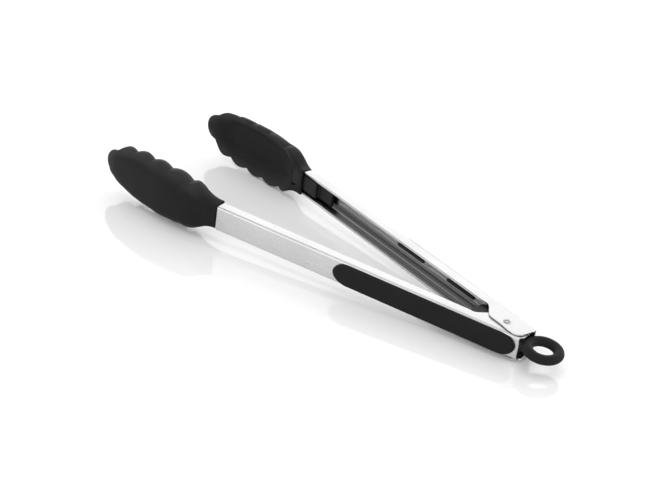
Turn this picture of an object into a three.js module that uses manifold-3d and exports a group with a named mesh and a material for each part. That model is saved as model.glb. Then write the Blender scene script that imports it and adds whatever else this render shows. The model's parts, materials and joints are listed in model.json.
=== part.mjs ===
// Spring loaded kitchen tongs: two steel channel arms on a sprung hinge, with a pull-ring lock,
// soft grips and scalloped soft heads. Millimetres, +Z up, lying on one side as they rest on a table.
//
// Every arm piece is drawn in the arm's own frame: x runs from the hinge pin towards the head,
// y points outwards from the pin's line and z runs along the pin. The right arm is the mirror image
// of the left one. The lock's pieces are drawn in the hinge frame: +X points out of the hinge end.

import * as THREE from "three";
import { mergeVertices } from "three/addons/utils/BufferGeometryUtils.js";
import Module from "manifold-3d";

const wasm = await Module();
wasm.setup();

// ---------------------------------------------------------------- driving dimensions

const GAP = 0.3; // clearance between neighbouring pieces
const OPEN_HALF_ANGLE = THREE.MathUtils.degToRad(9.8); // each arm's angle to the centre line

// Steel arms
const ARM_LENGTH = 200.6; // pin to the head's collar
const SHEET = 0.8;
const WEB_OFFSET = 9.9; // pin to the outside of the web
const FLANGE_DEPTH = 7.4;
const INNER_HINGE_HEIGHT = 15.2; // left arm, whose ears are inside
const HEAD_END_HEIGHT = 16.4;
const HINGE_ZONE = 25; // stretch of the arm with parallel flanges, so the ears turn freely
const BEND_RADIUS = 1.4; // outside of the folds between web and flanges
const HEM_DEPTH = 2.2; // strip folded back inside along each flange edge
const HEM_THICKNESS = 0.7;

// Ears, the flanges' ends that overlap round the pin
const EAR_REACH = 15.8; // past the pin, away from the head
const EAR_DEPTH = 5.1; // past the pin, towards the other arm
const OUTER_EAR_TIP = 6.1; // the right arm's ears are a little deeper at their ends
const EAR_CORNER = 7;
const EAR_FLAT = 8; // straight inner edge, from the pin towards the head
const EAR_BLEND_END = 21.5;
const INNER_WEB_END = 13.7; // the webs stop short of the ears' round ends
const OUTER_WEB_END = 14.8;

// Neck, the stepped-in end of the channel inside the head's collar
const NECK_LENGTH = 11.4;
const NECK_STEP = 0.75;

// Hinge pin and bush
const PIN_RADIUS = 1.5;
const RIVET_HEAD_RADIUS = 2.35;
const RIVET_DOME_HEIGHT = 1.1;
const RIVET_FOOT_RADIUS = 2.8;
const RIVET_FOOT_HEIGHT = 1.0;
const BUSH_WALL = 1.2;

// Torsion spring
const WIRE = 1.2;
const COIL_RADIUS = 4.4; // to the wire's centre
const COIL_TURNS = 3; // and a half
const SPRING_LEG = 29; // pin to the end of each leg, along the arm

// Lock: slide, plate, ring
const LOCK_TRAVEL = 8;
const SLIDE_HALF_WIDTH = 5.6;
const SLIDE_WING = 8; // half-width over the wings
const SLIDE_INNER_END = 23.5; // from the pin, towards the heads
const SLIDE_OUTER_END = 12.6; // from the pin, out of the hinge end
const SLIDE_PLATE = 2.1;
const SLIDE_BLOCK = 5; // length of the solid end that holds the plate
const LOCK_PLATE_THICKNESS = 1;
const LOCK_PLATE_HALF_WIDTH = 3.4;
const LOCK_PLATE_LEVEL = 2; // underside, above the pin's middle
const LOCK_PLATE_START = 9.2; // from the pin
const LOCK_PLATE_INSET = 2; // how far its end passes the middle of the ring's near side
const RING_CENTRE = 27.8; // from the pin
const RING_LEVEL = 3.15; // above the pin's middle
const RING_RADIUS = 9.13; // to the middle of the ring's oval section
const RING_SECTION = 3.25; // half-width of the section
const RING_CORE_SECTION = 1.5;
const RING_FLATNESS = 0.88; // the sections' height to their width
const RING_DROOP = THREE.MathUtils.degToRad(4.5);
const RING_PIN_RADIUS = 0.9;
const RING_PIN_AT = 10.7; // from the pin
const RING_PIN_CAP = 0.4; // how far the ring's pin stands out of the plate

// Grips
const GRIP_START = -11.9;
const GRIP_PAST_SLOTS = 2.7; // from the last slot to the grip's end
const GRIP_HEIGHT = 14;
const GRIP_END_REACH = 11; // length of each half-oval end
const GRIP_THICKNESS = 1.9;
const GRIP_BEVEL = 0.8;
const GRIP_RIM = 1.6; // width of the soft rim round the carrier
const CARRIER_THICKNESS = 0.6;
const SLOT_STARTS = [37.3, 84.5];
const SLOT_LENGTH = 25.6;
const SLOT_HEIGHT = 2.4;
const SLOT_LEVEL = 0.6; // the slots' middle line, above the pin's middle
const BOSS_DEPTH = 1.5; // from the web's outside towards its inside

// Heads. Their stations are distances from the collar's end.
const HEAD_LENGTH = 96.6;
const COLLAR_LENGTH = 12;
const COLLAR_WALL = 1;
const COLLAR_FLARE = 1.3; // how much wider its far end is, each way
const SCALLOP_NOTCHES = [
  [21.6, 14.4],
  [41.6, 16.5],
  [56.7, 16],
  [72.2, 14.8],
  [89, 7.8],
]; // station and half-width
const SCALLOP_LOBES = [2.3, 2.9, 2.4, 2.6, 3]; // how far each stands out of the line of the notches
const RIM_LINE = [
  [0, 1.3],
  [12.4, 1.3],
  [23.4, 2.9],
  [41.4, 2.2],
  [56.4, 0.4],
  [71.4, -1.9],
  [87.4, -4.6],
  [HEAD_LENGTH, -6.2],
]; // the gripping edge, measured outwards from the pin's line
const CROWN_HEIGHT = [
  [0, 8.9],
  [12.4, 11.2],
  [23.4, 11],
  [41.4, 10.1],
  [56.4, 8.3],
  [71.4, 6.6],
  [87.4, 4.5],
  [HEAD_LENGTH, 1.3],
]; // outer face above the rim
const PALM_HEIGHT = [
  [0, 0],
  [12.4, 0.2],
  [41.4, 1.5],
  [71.4, 1.3],
  [87.4, 0.7],
  [HEAD_LENGTH, 0.1],
]; // inner face above the rim
const LIP_THICKNESS = 1.2;
const BOX_SECTION_END = 15; // the section is a square-cornered box up to here
const DISH_SECTION_START = 29; // and a shallow dish from here
const BOX_SQUARENESS = 10;
const DISH_SQUARENESS = 3;
const TANG_LENGTH = 27.1; // from the collar back into the channel
const TANG_DEEP_LENGTH = 13.6; // the part of it that fills the channel's depth
const TANG_THIN = 2.6;
const BLADE_LENGTH = 76.4;
const BLADE_THICKNESS = 1.5;
const BLADE_SHARE = 0.66; // of the head's width between its notches
const HEAD_PIN_RADIUS = 1.25;

// ---------------------------------------------------------------- sizes worked out from them

const OUTER_HINGE_HEIGHT = INNER_HINGE_HEIGHT + 2 * (SHEET + GAP);
const FLANGE_EDGE = WEB_OFFSET - FLANGE_DEPTH;
const WEB_INSIDE = WEB_OFFSET - SHEET;
const GRIP_END = SLOT_STARTS.at(-1) + SLOT_LENGTH + GRIP_PAST_SLOTS;
const NECK_END = ARM_LENGTH + NECK_LENGTH;
const NECK_HALF_HEIGHT = HEAD_END_HEIGHT / 2 - NECK_STEP;
const EAR_INSIDE = INNER_HINGE_HEIGHT / 2 - SHEET;
const PIN_HOLE = PIN_RADIUS + GAP;
const BUSH_RADIUS = PIN_HOLE + BUSH_WALL;
const SLIDE_HALF_HEIGHT = EAR_INSIDE - 0.4;
const COIL_ROOM = 2 * (SLIDE_HALF_HEIGHT - SLIDE_PLATE - GAP) - WIRE;
const HEAD_PIN_AT = ARM_LENGTH + NECK_LENGTH / 2;
const TANG_HALF_HEIGHT = HEAD_END_HEIGHT / 2 - SHEET - HEM_THICKNESS - 2 * GAP;
const TANG_TOP = WEB_INSIDE - NECK_STEP - GAP;
const REST_DEPTH = OUTER_HINGE_HEIGHT / 2 + GAP + RIVET_FOOT_HEIGHT;

// ---------------------------------------------------------------- solids

function solidOf(geometry) {
  const bare = geometry.clone();
  for (const name of Object.keys(bare.attributes)) {
    if (name !== "position") bare.deleteAttribute(name);
  }
  const merged = mergeVertices(bare, 1e-4);
  return new wasm.Manifold(
    new wasm.Mesh({
      numProp: 3,
      vertProperties: merged.attributes.position.array,
      triVerts: new Uint32Array(merged.index.array),
    }),
  );
}

function geometryOf(solid) {
  const mesh = solid.getMesh();
  const geometry = new THREE.BufferGeometry();
  geometry.setAttribute("position", new THREE.BufferAttribute(mesh.vertProperties, 3));
  geometry.setIndex(new THREE.BufferAttribute(mesh.triVerts, 1));
  geometry.computeVertexNormals();
  return geometry;
}

const cut = (body, ...tools) =>
  geometryOf(tools.reduce((left, tool) => left.subtract(solidOf(tool)), solidOf(body)));

const join = (first, ...others) =>
  geometryOf(others.reduce((sum, other) => sum.add(solidOf(other)), solidOf(first)));

const common = (first, second) => geometryOf(solidOf(first).intersect(solidOf(second)));

// A plate with its outline in x and y, from z = low to z = high.
function plate(shape, low, high, curveSegments = 8) {
  return new THREE.ExtrudeGeometry(shape, {
    depth: high - low,
    bevelEnabled: false,
    curveSegments,
  }).translate(0, 0, low);
}

// A plate with a symmetric outline in x and z, from y = low to y = high.
const uprightPlate = (shape, low, high) => plate(shape, low, high).rotateX(-Math.PI / 2);

function block(x, y, z) {
  return new THREE.BoxGeometry(x[1] - x[0], y[1] - y[0], z[1] - z[0]).translate(
    (x[0] + x[1]) / 2,
    (y[0] + y[1]) / 2,
    (z[0] + z[1]) / 2,
  );
}

function rod(radius, low, high, x = 0, y = 0, sides = 20) {
  return new THREE.CylinderGeometry(radius, radius, high - low, sides)
    .rotateX(Math.PI / 2)
    .translate(x, y, (low + high) / 2);
}

// A stadium, straight between two half-round ends, centred on y = 0.
function stadium(start, end, height, level = 0) {
  const r = height / 2;
  const shape = new THREE.Shape();
  shape.moveTo(start + r, level - r);
  shape.lineTo(end - r, level - r);
  shape.absarc(end - r, level, r, -Math.PI / 2, Math.PI / 2, false);
  shape.lineTo(start + r, level + r);
  shape.absarc(start + r, level, r, Math.PI / 2, (3 * Math.PI) / 2, false);
  return shape;
}

// A closed skin over rings of points, one ring per station, with a flat fan over each end.
function loft(rings) {
  const count = rings[0].length;
  const points = rings.flat();
  const faces = [];
  for (let i = 0; i + 1 < rings.length; i++) {
    for (let j = 0; j < count; j++) {
      const a = i * count + j;
      const b = i * count + ((j + 1) % count);
      faces.push(a, b, b + count, a, b + count, a + count);
    }
  }
  for (const [ring, first, turned] of [
    [rings[0], 0, true],
    [rings.at(-1), (rings.length - 1) * count, false],
  ]) {
    const middle = new THREE.Vector3();
    ring.forEach((p) => middle.addScaledVector(p, 1 / count));
    points.push(middle);
    for (let j = 0; j < count; j++) {
      const a = first + j;
      const b = first + ((j + 1) % count);
      faces.push(points.length - 1, turned ? b : a, turned ? a : b);
    }
  }
  const geometry = new THREE.BufferGeometry().setFromPoints(points);
  geometry.setIndex(faces);
  return geometry;
}

// A smooth height along the arm through the given stations.
function through(stations) {
  const slope = (i) => {
    const a = stations[Math.max(i - 1, 0)];
    const b = stations[Math.min(i + 1, stations.length - 1)];
    return (b[1] - a[1]) / (b[0] - a[0]);
  };
  return (x) => {
    let i = 0;
    while (i < stations.length - 2 && x > stations[i + 1][0]) i++;
    const [x0, y0] = stations[i];
    const [x1, y1] = stations[i + 1];
    const length = x1 - x0;
    const t = THREE.MathUtils.clamp((x - x0) / length, 0, 1);
    const u = 1 - t;
    return (
      y0 * u * u * (1 + 2 * t) +
      y1 * t * t * (3 - 2 * t) +
      slope(i) * length * t * u * u -
      slope(i + 1) * length * t * t * u
    );
  };
}

// ---------------------------------------------------------------- steel arms

// Stations along an arm, each with the flanges' half-height and the web's inward step.
function armStations(hingeHeight) {
  return [
    { x: -EAR_REACH - 1, half: hingeHeight / 2, step: 0 },
    { x: HINGE_ZONE, half: hingeHeight / 2, step: 0 },
    { x: ARM_LENGTH - NECK_STEP, half: HEAD_END_HEIGHT / 2, step: 0 },
    { x: ARM_LENGTH, half: NECK_HALF_HEIGHT, step: NECK_STEP },
    { x: NECK_END, half: NECK_HALF_HEIGHT, step: NECK_STEP },
  ];
}

const halfHeightAt = (stations, x) => {
  const next = stations.findIndex((s) => s.x >= x);
  const a = stations[Math.max(next - 1, 0)];
  const b = stations[Math.max(next, 1)];
  return THREE.MathUtils.mapLinear(x, a.x, b.x, a.half, b.half);
};

// A section in y and z, swept along the arm; its flanges' height and its web follow the stations.
function sweptSection(shape, stations) {
  const geometry = new THREE.ExtrudeGeometry(shape, {
    depth: stations.length - 1,
    steps: stations.length - 1,
    bevelEnabled: false,
    curveSegments: 4,
  });
  const p = geometry.attributes.position;
  for (let i = 0; i < p.count; i++) {
    const station = stations[Math.round(p.getZ(i))];
    const depthShare = Math.max((p.getX(i) - FLANGE_EDGE) / FLANGE_DEPTH, 0);
    p.setXYZ(
      i,
      station.x,
      p.getX(i) - station.step * depthShare,
      Math.sign(p.getY(i)) * (station.half - SECTION_HALF + Math.abs(p.getY(i))),
    );
  }
  return geometry;
}

// The channel's section, drawn SECTION_HALF high each way, with flanges deep enough for the ears.
const SECTION_HALF = 10;
const SECTION_EDGE = -Math.max(EAR_DEPTH, OUTER_EAR_TIP) - 1;

function channelSection() {
  const inner = BEND_RADIUS - SHEET;
  const shape = new THREE.Shape();
  for (const side of [1, -1]) {
    const z = (depth) => side * (SECTION_HALF - depth);
    const outer = [];
    for (let k = 0; k <= 4; k++) {
      const a = (k / 4) * (Math.PI / 2);
      outer.push([
        WEB_OFFSET - BEND_RADIUS * (1 - Math.sin(a)),
        z(BEND_RADIUS * (1 - Math.cos(a))),
      ]);
    }
    const run = [[SECTION_EDGE, z(0)], ...outer];
    if (side < 0) run.reverse();
    run.forEach(([y, h], i) => (side > 0 && i === 0 ? shape.moveTo(y, h) : shape.lineTo(y, h)));
  }
  for (const side of [-1, 1]) {
    const z = (depth) => side * (SECTION_HALF - depth);
    const fold = [
      [SECTION_EDGE, z(SHEET)],
      [WEB_INSIDE - inner, z(SHEET)],
      [WEB_INSIDE - inner * 0.3, z(SHEET + inner * 0.3)],
      [WEB_INSIDE, z(SHEET + inner)],
    ];
    if (side > 0) fold.reverse();
    fold.forEach(([y, h]) => shape.lineTo(y, h));
  }
  return shape;
}

// The outline that an arm is trimmed to, seen along the pin.
function armOutline({ webEnd, earTip }) {
  const shape = new THREE.Shape();
  shape.moveTo(NECK_END, WEB_OFFSET + 1);
  shape.lineTo(-webEnd, WEB_OFFSET + 1);
  shape.lineTo(-webEnd, WEB_INSIDE - 1);
  shape.lineTo(-EAR_REACH, EAR_CORNER - earTip);
  shape.quadraticCurveTo(-EAR_REACH, -earTip, EAR_CORNER - EAR_REACH, -earTip);
  shape.lineTo(EAR_FLAT, -EAR_DEPTH);
  const blend = EAR_BLEND_END - EAR_FLAT;
  shape.bezierCurveTo(
    EAR_FLAT + blend * 0.33,
    -EAR_DEPTH,
    EAR_FLAT + blend * 0.55,
    FLANGE_EDGE,
    EAR_BLEND_END,
    FLANGE_EDGE + 0.4,
  );
  shape.lineTo(EAR_BLEND_END + 3, FLANGE_EDGE);
  shape.lineTo(NECK_END, FLANGE_EDGE);
  return shape;
}

// The sheet folded back inside a flange's edge, sunk slightly into the flange.
function hem(stations, side) {
  const start = HINGE_ZONE + 2;
  const end = ARM_LENGTH - 2;
  return loft(
    [start, end].map((x) => {
      const top = halfHeightAt(stations, x) - SHEET;
      const corners = [
        [FLANGE_EDGE + 0.1, top + 0.2],
        [FLANGE_EDGE + HEM_DEPTH, top + 0.2],
        [FLANGE_EDGE + HEM_DEPTH, top - HEM_THICKNESS],
        [FLANGE_EDGE + 0.1, top - HEM_THICKNESS],
      ];
      if (side > 0) corners.reverse();
      return corners.map(([y, z]) => new THREE.Vector3(x, y, side * z));
    }),
  );
}

function armChannel(hingeEnd) {
  const stations = armStations(hingeEnd.height);
  const reach = hingeEnd.height;
  const trimmed = common(
    sweptSection(channelSection(), stations),
    plate(armOutline(hingeEnd), -reach, reach, 6),
  );
  const slots = SLOT_STARTS.map((start) =>
    uprightPlate(
      stadium(start, start + SLOT_LENGTH, SLOT_HEIGHT, SLOT_LEVEL),
      WEB_INSIDE - 1,
      WEB_OFFSET + 1,
    ),
  );
  return cut(
    join(trimmed, hem(stations, 1), hem(stations, -1)),
    ...slots,
    rod(PIN_HOLE, -reach, reach),
    rod(HEAD_PIN_RADIUS + GAP, -reach, reach, HEAD_PIN_AT, headPinLine()),
  );
}

// ---------------------------------------------------------------- grips

const gripFoot = WEB_OFFSET + GAP;

// A grip's outline at an inset: straight between two half-oval ends, centred on y = 0.
function gripOutline(inset) {
  const start = GRIP_START + GRIP_END_REACH;
  const end = GRIP_END - GRIP_END_REACH;
  const reach = GRIP_END_REACH - inset;
  const half = GRIP_HEIGHT / 2 - inset;
  const shape = new THREE.Shape();
  shape.moveTo(start, -half);
  shape.lineTo(end, -half);
  shape.absellipse(end, 0, reach, half, -Math.PI / 2, Math.PI / 2, false, 0);
  shape.lineTo(start, half);
  shape.absellipse(start, 0, reach, half, Math.PI / 2, (3 * Math.PI) / 2, false, 0);
  return shape;
}

function gripPad() {
  const pad = new THREE.ExtrudeGeometry(
    gripOutline(GRIP_BEVEL),
    {
      depth: GRIP_THICKNESS - GRIP_BEVEL,
      bevelThickness: GRIP_BEVEL,
      bevelSize: GRIP_BEVEL,
      bevelSegments: 1,
      curveSegments: 10,
    },
  )
    .rotateX(-Math.PI / 2)
    .translate(0, gripFoot, 0);
  const below = block([GRIP_START - 1, GRIP_END + 1], [gripFoot - 2, gripFoot], [-20, 20]);
  const recess = uprightPlate(
    gripOutline(GRIP_RIM),
    gripFoot - 1,
    gripFoot + CARRIER_THICKNESS + GAP,
  );
  return cut(pad, below, recess);
}

function gripCarrier() {
  const backing = uprightPlate(
    gripOutline(GRIP_RIM + GAP),
    gripFoot,
    gripFoot + CARRIER_THICKNESS,
  );
  const bosses = SLOT_STARTS.map((start) =>
    uprightPlate(
      stadium(start + GAP, start + SLOT_LENGTH - GAP, SLOT_HEIGHT - 2 * GAP, SLOT_LEVEL),
      WEB_OFFSET - BOSS_DEPTH,
      gripFoot + CARRIER_THICKNESS / 2,
    ),
  );
  return join(backing, ...bosses);
}

// ---------------------------------------------------------------- heads

const rimAt = through(RIM_LINE);
const crownAt = through(CROWN_HEIGHT);
const palmAt = through(PALM_HEIGHT);
const collarHalfWidth = HEAD_END_HEIGHT / 2 - NECK_STEP + GAP + COLLAR_WALL;
const notchLine = [
  [0, collarHalfWidth],
  [COLLAR_LENGTH, collarHalfWidth + COLLAR_FLARE],
  ...SCALLOP_NOTCHES,
  [HEAD_LENGTH, 0.6],
];

function headPinLine() {
  return (FLANGE_EDGE + TANG_TOP) / 2;
}

// Half-width of the scalloped edge: round lobes between the notches.
function scallopedHalfWidth(x) {
  let i = 0;
  while (i < notchLine.length - 2 && x > notchLine[i + 1][0]) i++;
  const [x0, w0] = notchLine[i];
  const [x1, w1] = notchLine[i + 1];
  const t = THREE.MathUtils.clamp((x - x0) / (x1 - x0), 0, 1);
  const line = w0 + (w1 - w0) * t;
  if (i === 0) return line;
  const isTip = i === notchLine.length - 2;
  if (isTip) return Math.max(w0 * Math.sqrt(1 - t * t), w1);
  return line + SCALLOP_LOBES[i - 1] * Math.sqrt(Math.max(4 * t * (1 - t), 0));
}

// Half-width of the line through the notches, which the stiff core follows.
const coreHalfWidth = (x) => BLADE_SHARE * through(notchLine.slice(1))(x);

// How square the section is: a box at the collar, an oval dish further on.
const squareness = (x) =>
  THREE.MathUtils.lerp(
    BOX_SQUARENESS,
    DISH_SQUARENESS,
    THREE.MathUtils.smoothstep(x, BOX_SECTION_END, DISH_SECTION_START),
  );

function outerFace(x, w) {
  const share = Math.pow(Math.max(1 - Math.pow(Math.abs(w), squareness(x)), 0), 0.75);
  return rimAt(x) + LIP_THICKNESS + (crownAt(x) - LIP_THICKNESS) * share;
}

const innerFace = (x, w) => rimAt(x) + palmAt(x) * (1 - Math.pow(Math.abs(w), 4));

// One closed ring of the head's section, from edge to edge over the outside and back inside.
function headRing(x) {
  const across = [-1, -0.93, -0.75, -0.45, 0, 0.45, 0.75, 0.93, 1];
  const half = scallopedHalfWidth(x);
  return [
    ...across.map((w) => new THREE.Vector3(ARM_LENGTH + x, outerFace(x, w), w * half)),
    ...across
      .toReversed()
      .map((w) => new THREE.Vector3(ARM_LENGTH + x, innerFace(x, w), w * half)),
  ];
}

// A ring of the core's blade, which lies halfway between the two faces.
function bladeRing(x, grow) {
  const across = [-1, -0.5, 0, 0.5, 1];
  const widest = x > NECK_LENGTH + GAP ? Infinity : TANG_HALF_HEIGHT;
  const half = Math.min(coreHalfWidth(x), widest) + grow;
  const middle = (z) => {
    const w = z / scallopedHalfWidth(x);
    return (outerFace(x, w) + innerFace(x, w)) / 2;
  };
  const rise = BLADE_THICKNESS / 2 + grow;
  const at = (w, height) => new THREE.Vector3(ARM_LENGTH + x, height, w * half);
  return [
    ...across.map((w) => at(w, middle(w * half) + rise)),
    ...across.toReversed().map((w) => at(w, middle(w * half) - rise)),
  ];
}

// The blade starts inside the neck, as wide as the tang, and widens once it is out of it.
function blade(grow) {
  const start = NECK_LENGTH + GAP;
  const end = BLADE_LENGTH + grow;
  const rings = [bladeRing(NECK_LENGTH - 2, grow)];
  for (let i = 0; i <= 8; i++) rings.push(bladeRing(start + ((end - start) * i) / 8, grow));
  return loft(rings);
}

function headCore() {
  const low = FLANGE_EDGE + 0.2;
  const z = [-TANG_HALF_HEIGHT, TANG_HALF_HEIGHT];
  return cut(
    join(
      block([ARM_LENGTH - TANG_DEEP_LENGTH, NECK_END], [low, TANG_TOP], z),
      block([ARM_LENGTH - TANG_LENGTH, ARM_LENGTH], [TANG_TOP - TANG_THIN, TANG_TOP], z),
      blade(0),
    ),
    rod(HEAD_PIN_RADIUS + GAP, -20, 20, HEAD_PIN_AT, headPinLine()),
  );
}

function headCover() {
  const stations = [GAP, COLLAR_LENGTH / 2, COLLAR_LENGTH];
  for (let i = 1; i < notchLine.length - 1; i++) {
    const [from, to] = [notchLine[i][0], notchLine[i + 1][0]];
    for (const t of [0.14, 0.5, 0.86, 1]) stations.push(from + (to - from) * t);
  }
  const neck = block(
    [ARM_LENGTH - 1, NECK_END + GAP],
    [FLANGE_EDGE - GAP, WEB_OFFSET - NECK_STEP + GAP],
    [-NECK_HALF_HEIGHT - GAP, NECK_HALF_HEIGHT + GAP],
  );
  return cut(loft(stations.map(headRing)), neck, blade(GAP));
}

const headPin = () =>
  rod(
    HEAD_PIN_RADIUS,
    -NECK_HALF_HEIGHT + GAP / 2,
    NECK_HALF_HEIGHT - GAP / 2,
    HEAD_PIN_AT,
    headPinLine(),
  );

// ---------------------------------------------------------------- hinge pin, bush and spring

function pivotRivet() {
  const top = OUTER_HINGE_HEIGHT / 2 + GAP;
  const foot = -REST_DEPTH;
  const profile = [
    new THREE.Vector2(0, foot),
    new THREE.Vector2(RIVET_FOOT_RADIUS, foot),
    new THREE.Vector2(RIVET_FOOT_RADIUS, -top),
    new THREE.Vector2(PIN_RADIUS, -top),
    new THREE.Vector2(PIN_RADIUS, top),
    new THREE.Vector2(RIVET_HEAD_RADIUS, top),
  ];
  for (let i = 1; i <= 4; i++) {
    const a = (i / 4) * (Math.PI / 2);
    profile.push(
      new THREE.Vector2(
        i === 4 ? 0 : RIVET_HEAD_RADIUS * Math.cos(a),
        top + RIVET_DOME_HEIGHT * Math.sin(a),
      ),
    );
  }
  return new THREE.LatheGeometry(profile, 24).rotateX(Math.PI / 2);
}

function pivotBush() {
  const shape = new THREE.Shape().absarc(0, 0, BUSH_RADIUS, 0, 2 * Math.PI, false);
  shape.holes.push(new THREE.Path().absarc(0, 0, PIN_HOLE, 0, 2 * Math.PI, true));
  return plate(shape, -EAR_INSIDE + GAP, EAR_INSIDE - GAP, 10);
}

// The spring wire's centre line: in along the left arm's web, round the coil, out along the right.
class SpringWire extends THREE.Curve {
  constructor() {
    super();
    const web = WEB_INSIDE - WIRE / 2 - GAP;
    const reach = Math.hypot(SPRING_LEG, web);
    const toEnd = Math.atan2(web, SPRING_LEG);
    this.legLength = Math.sqrt(reach * reach - COIL_RADIUS * COIL_RADIUS);
    // Angle, past straight down the -Y side, at which the leg meets the coil.
    const bearing = OPEN_HALF_ANGLE + toEnd;
    this.contact = Math.acos(COIL_RADIUS / reach) - (Math.PI / 2 - bearing);
    this.sweep = (2 * COIL_TURNS + 1) * Math.PI - 2 * this.contact;
    this.arcLength = this.sweep * COIL_RADIUS;
    this.total = 2 * this.legLength + this.arcLength;
  }

  getPoint(t, target = new THREE.Vector3()) {
    const along = t * this.total - this.legLength;
    const turned = THREE.MathUtils.clamp(along / COIL_RADIUS, 0, this.sweep);
    const beyond = along - turned * COIL_RADIUS;
    const angle = -Math.PI / 2 + this.contact + turned;
    const rise = (turned / this.sweep - 0.5) * COIL_ROOM;
    return target.set(
      COIL_RADIUS * Math.cos(angle) - beyond * Math.sin(angle),
      COIL_RADIUS * Math.sin(angle) + beyond * Math.cos(angle),
      rise,
    );
  }
}

function torsionSpring() {
  const section = new THREE.Shape();
  for (let i = 0; i < 6; i++) {
    const a = (i / 6) * 2 * Math.PI;
    const x = (WIRE / 2) * Math.cos(a);
    const y = (WIRE / 2) * Math.sin(a);
    if (i === 0) section.moveTo(x, y);
    else section.lineTo(x, y);
  }
  return new THREE.ExtrudeGeometry(section, {
    steps: 96,
    bevelEnabled: false,
    extrudePath: new SpringWire(),
  });
}

// ---------------------------------------------------------------- lock

const lockPlateEnd = RING_CENTRE - RING_RADIUS + LOCK_PLATE_INSET;
const ringPinLow = RING_PIN_CAP - SLIDE_HALF_HEIGHT;
const ringPinHigh = LOCK_PLATE_LEVEL + LOCK_PLATE_THICKNESS + RING_PIN_CAP;

const lockPlateBody = (grow) =>
  block(
    [LOCK_PLATE_START - grow, lockPlateEnd + grow],
    [-LOCK_PLATE_HALF_WIDTH - grow, LOCK_PLATE_HALF_WIDTH + grow],
    [LOCK_PLATE_LEVEL - grow, LOCK_PLATE_LEVEL + LOCK_PLATE_THICKNESS + grow],
  );

const ringPinHole = (low, high) => rod(RING_PIN_RADIUS + GAP, low, high, RING_PIN_AT, 0, 12);

function lockSlide() {
  const w = SLIDE_HALF_WIDTH;
  const shape = new THREE.Shape();
  shape.moveTo(SLIDE_OUTER_END, -w);
  shape.lineTo(SLIDE_OUTER_END, w);
  shape.lineTo(-9, w);
  shape.lineTo(-12, SLIDE_WING);
  shape.lineTo(3 - SLIDE_INNER_END, SLIDE_WING);
  shape.quadraticCurveTo(-SLIDE_INNER_END, SLIDE_WING, -SLIDE_INNER_END, SLIDE_WING - 3);
  shape.lineTo(-SLIDE_INNER_END, 3 - SLIDE_WING);
  shape.quadraticCurveTo(-SLIDE_INNER_END, -SLIDE_WING, 3 - SLIDE_INNER_END, -SLIDE_WING);
  shape.lineTo(-12, -SLIDE_WING);
  shape.lineTo(-9, -w);
  const h = SLIDE_HALF_HEIGHT;
  const middle = h - SLIDE_PLATE;
  const slotHeight = 2 * (BUSH_RADIUS + GAP);
  return cut(
    plate(shape, -h, h, 4),
    block([-40, SLIDE_OUTER_END - SLIDE_BLOCK], [-20, 20], [-middle, middle]),
    plate(
      stadium(-LOCK_TRAVEL - slotHeight / 2 - GAP, slotHeight / 2, slotHeight),
      -h - 1,
      h + 1,
      6,
    ),
    lockPlateBody(GAP),
    ringPinHole(-h - 1, ringPinHigh + GAP),
  );
}

const lockPlate = () => cut(lockPlateBody(0), ringPinHole(ringPinLow, ringPinHigh));

const ringPin = () => rod(RING_PIN_RADIUS, ringPinLow, ringPinHigh, RING_PIN_AT, 0, 12);

// The ring is moulded round a stiff core and the plate's outer end, and droops a little.
function ringBody(section, sides, segments) {
  return new THREE.TorusGeometry(RING_RADIUS, section, sides, segments)
    .scale(1, 1, RING_FLATNESS)
    .rotateY(RING_DROOP)
    .translate(RING_CENTRE, 0, RING_LEVEL);
}

const ringCore = () => cut(ringBody(RING_CORE_SECTION, 6, 28), lockPlateBody(GAP));

const pullRing = () =>
  cut(
    ringBody(RING_SECTION, 10, 32),
    ringBody(RING_CORE_SECTION + GAP, 6, 28),
    lockPlateBody(GAP),
  );

// ---------------------------------------------------------------- the assembly

const steel = new THREE.MeshStandardMaterial({ color: 0xcfd0d0, roughness: 0.32, metalness: 1 });
const brightSteel = new THREE.MeshStandardMaterial({ color: 0xdcdcdc, roughness: 0.2, metalness: 1 });
const springSteel = new THREE.MeshStandardMaterial({ color: 0x8d8f90, roughness: 0.4, metalness: 1 });
const softBlack = new THREE.MeshStandardMaterial({ color: 0x2e2e2f, roughness: 0.75, metalness: 0 });
const hardBlack = new THREE.MeshStandardMaterial({ color: 0x1d1d1e, roughness: 0.5, metalness: 0 });

function part(name, geometry, material) {
  const mesh = new THREE.Mesh(geometry, material);
  mesh.name = name;
  return mesh;
}

function arm(side, hingeEnd) {
  const group = new THREE.Group();
  group.add(
    part(`${side}_arm`, armChannel(hingeEnd), steel),
    part(`${side}_grip_pad`, gripPad(), softBlack),
    part(`${side}_grip_carrier`, gripCarrier(), hardBlack),
    part(`${side}_head_core`, headCore(), hardBlack),
    part(`${side}_head_cover`, headCover(), softBlack),
    part(`${side}_head_pin`, headPin(), brightSteel),
  );
  return group;
}

const tongs = new THREE.Group();

const leftArm = arm("left", {
  height: INNER_HINGE_HEIGHT,
  webEnd: INNER_WEB_END,
  earTip: EAR_DEPTH,
});
leftArm.rotation.z = Math.PI + OPEN_HALF_ANGLE;

const rightArm = arm("right", {
  height: OUTER_HINGE_HEIGHT,
  webEnd: OUTER_WEB_END,
  earTip: OUTER_EAR_TIP,
});
rightArm.rotation.z = Math.PI - OPEN_HALF_ANGLE;
rightArm.scale.y = -1;

tongs.add(
  leftArm,
  rightArm,
  part("pivot_rivet", pivotRivet(), brightSteel),
  part("pivot_bush", pivotBush(), hardBlack),
  part("torsion_spring", torsionSpring(), springSteel),
  part("lock_slide", lockSlide(), hardBlack),
  part("lock_plate", lockPlate(), brightSteel),
  part("ring_pin", ringPin(), brightSteel),
  part("ring_core", ringCore(), hardBlack),
  part("pull_ring", pullRing(), softBlack),
);

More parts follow.
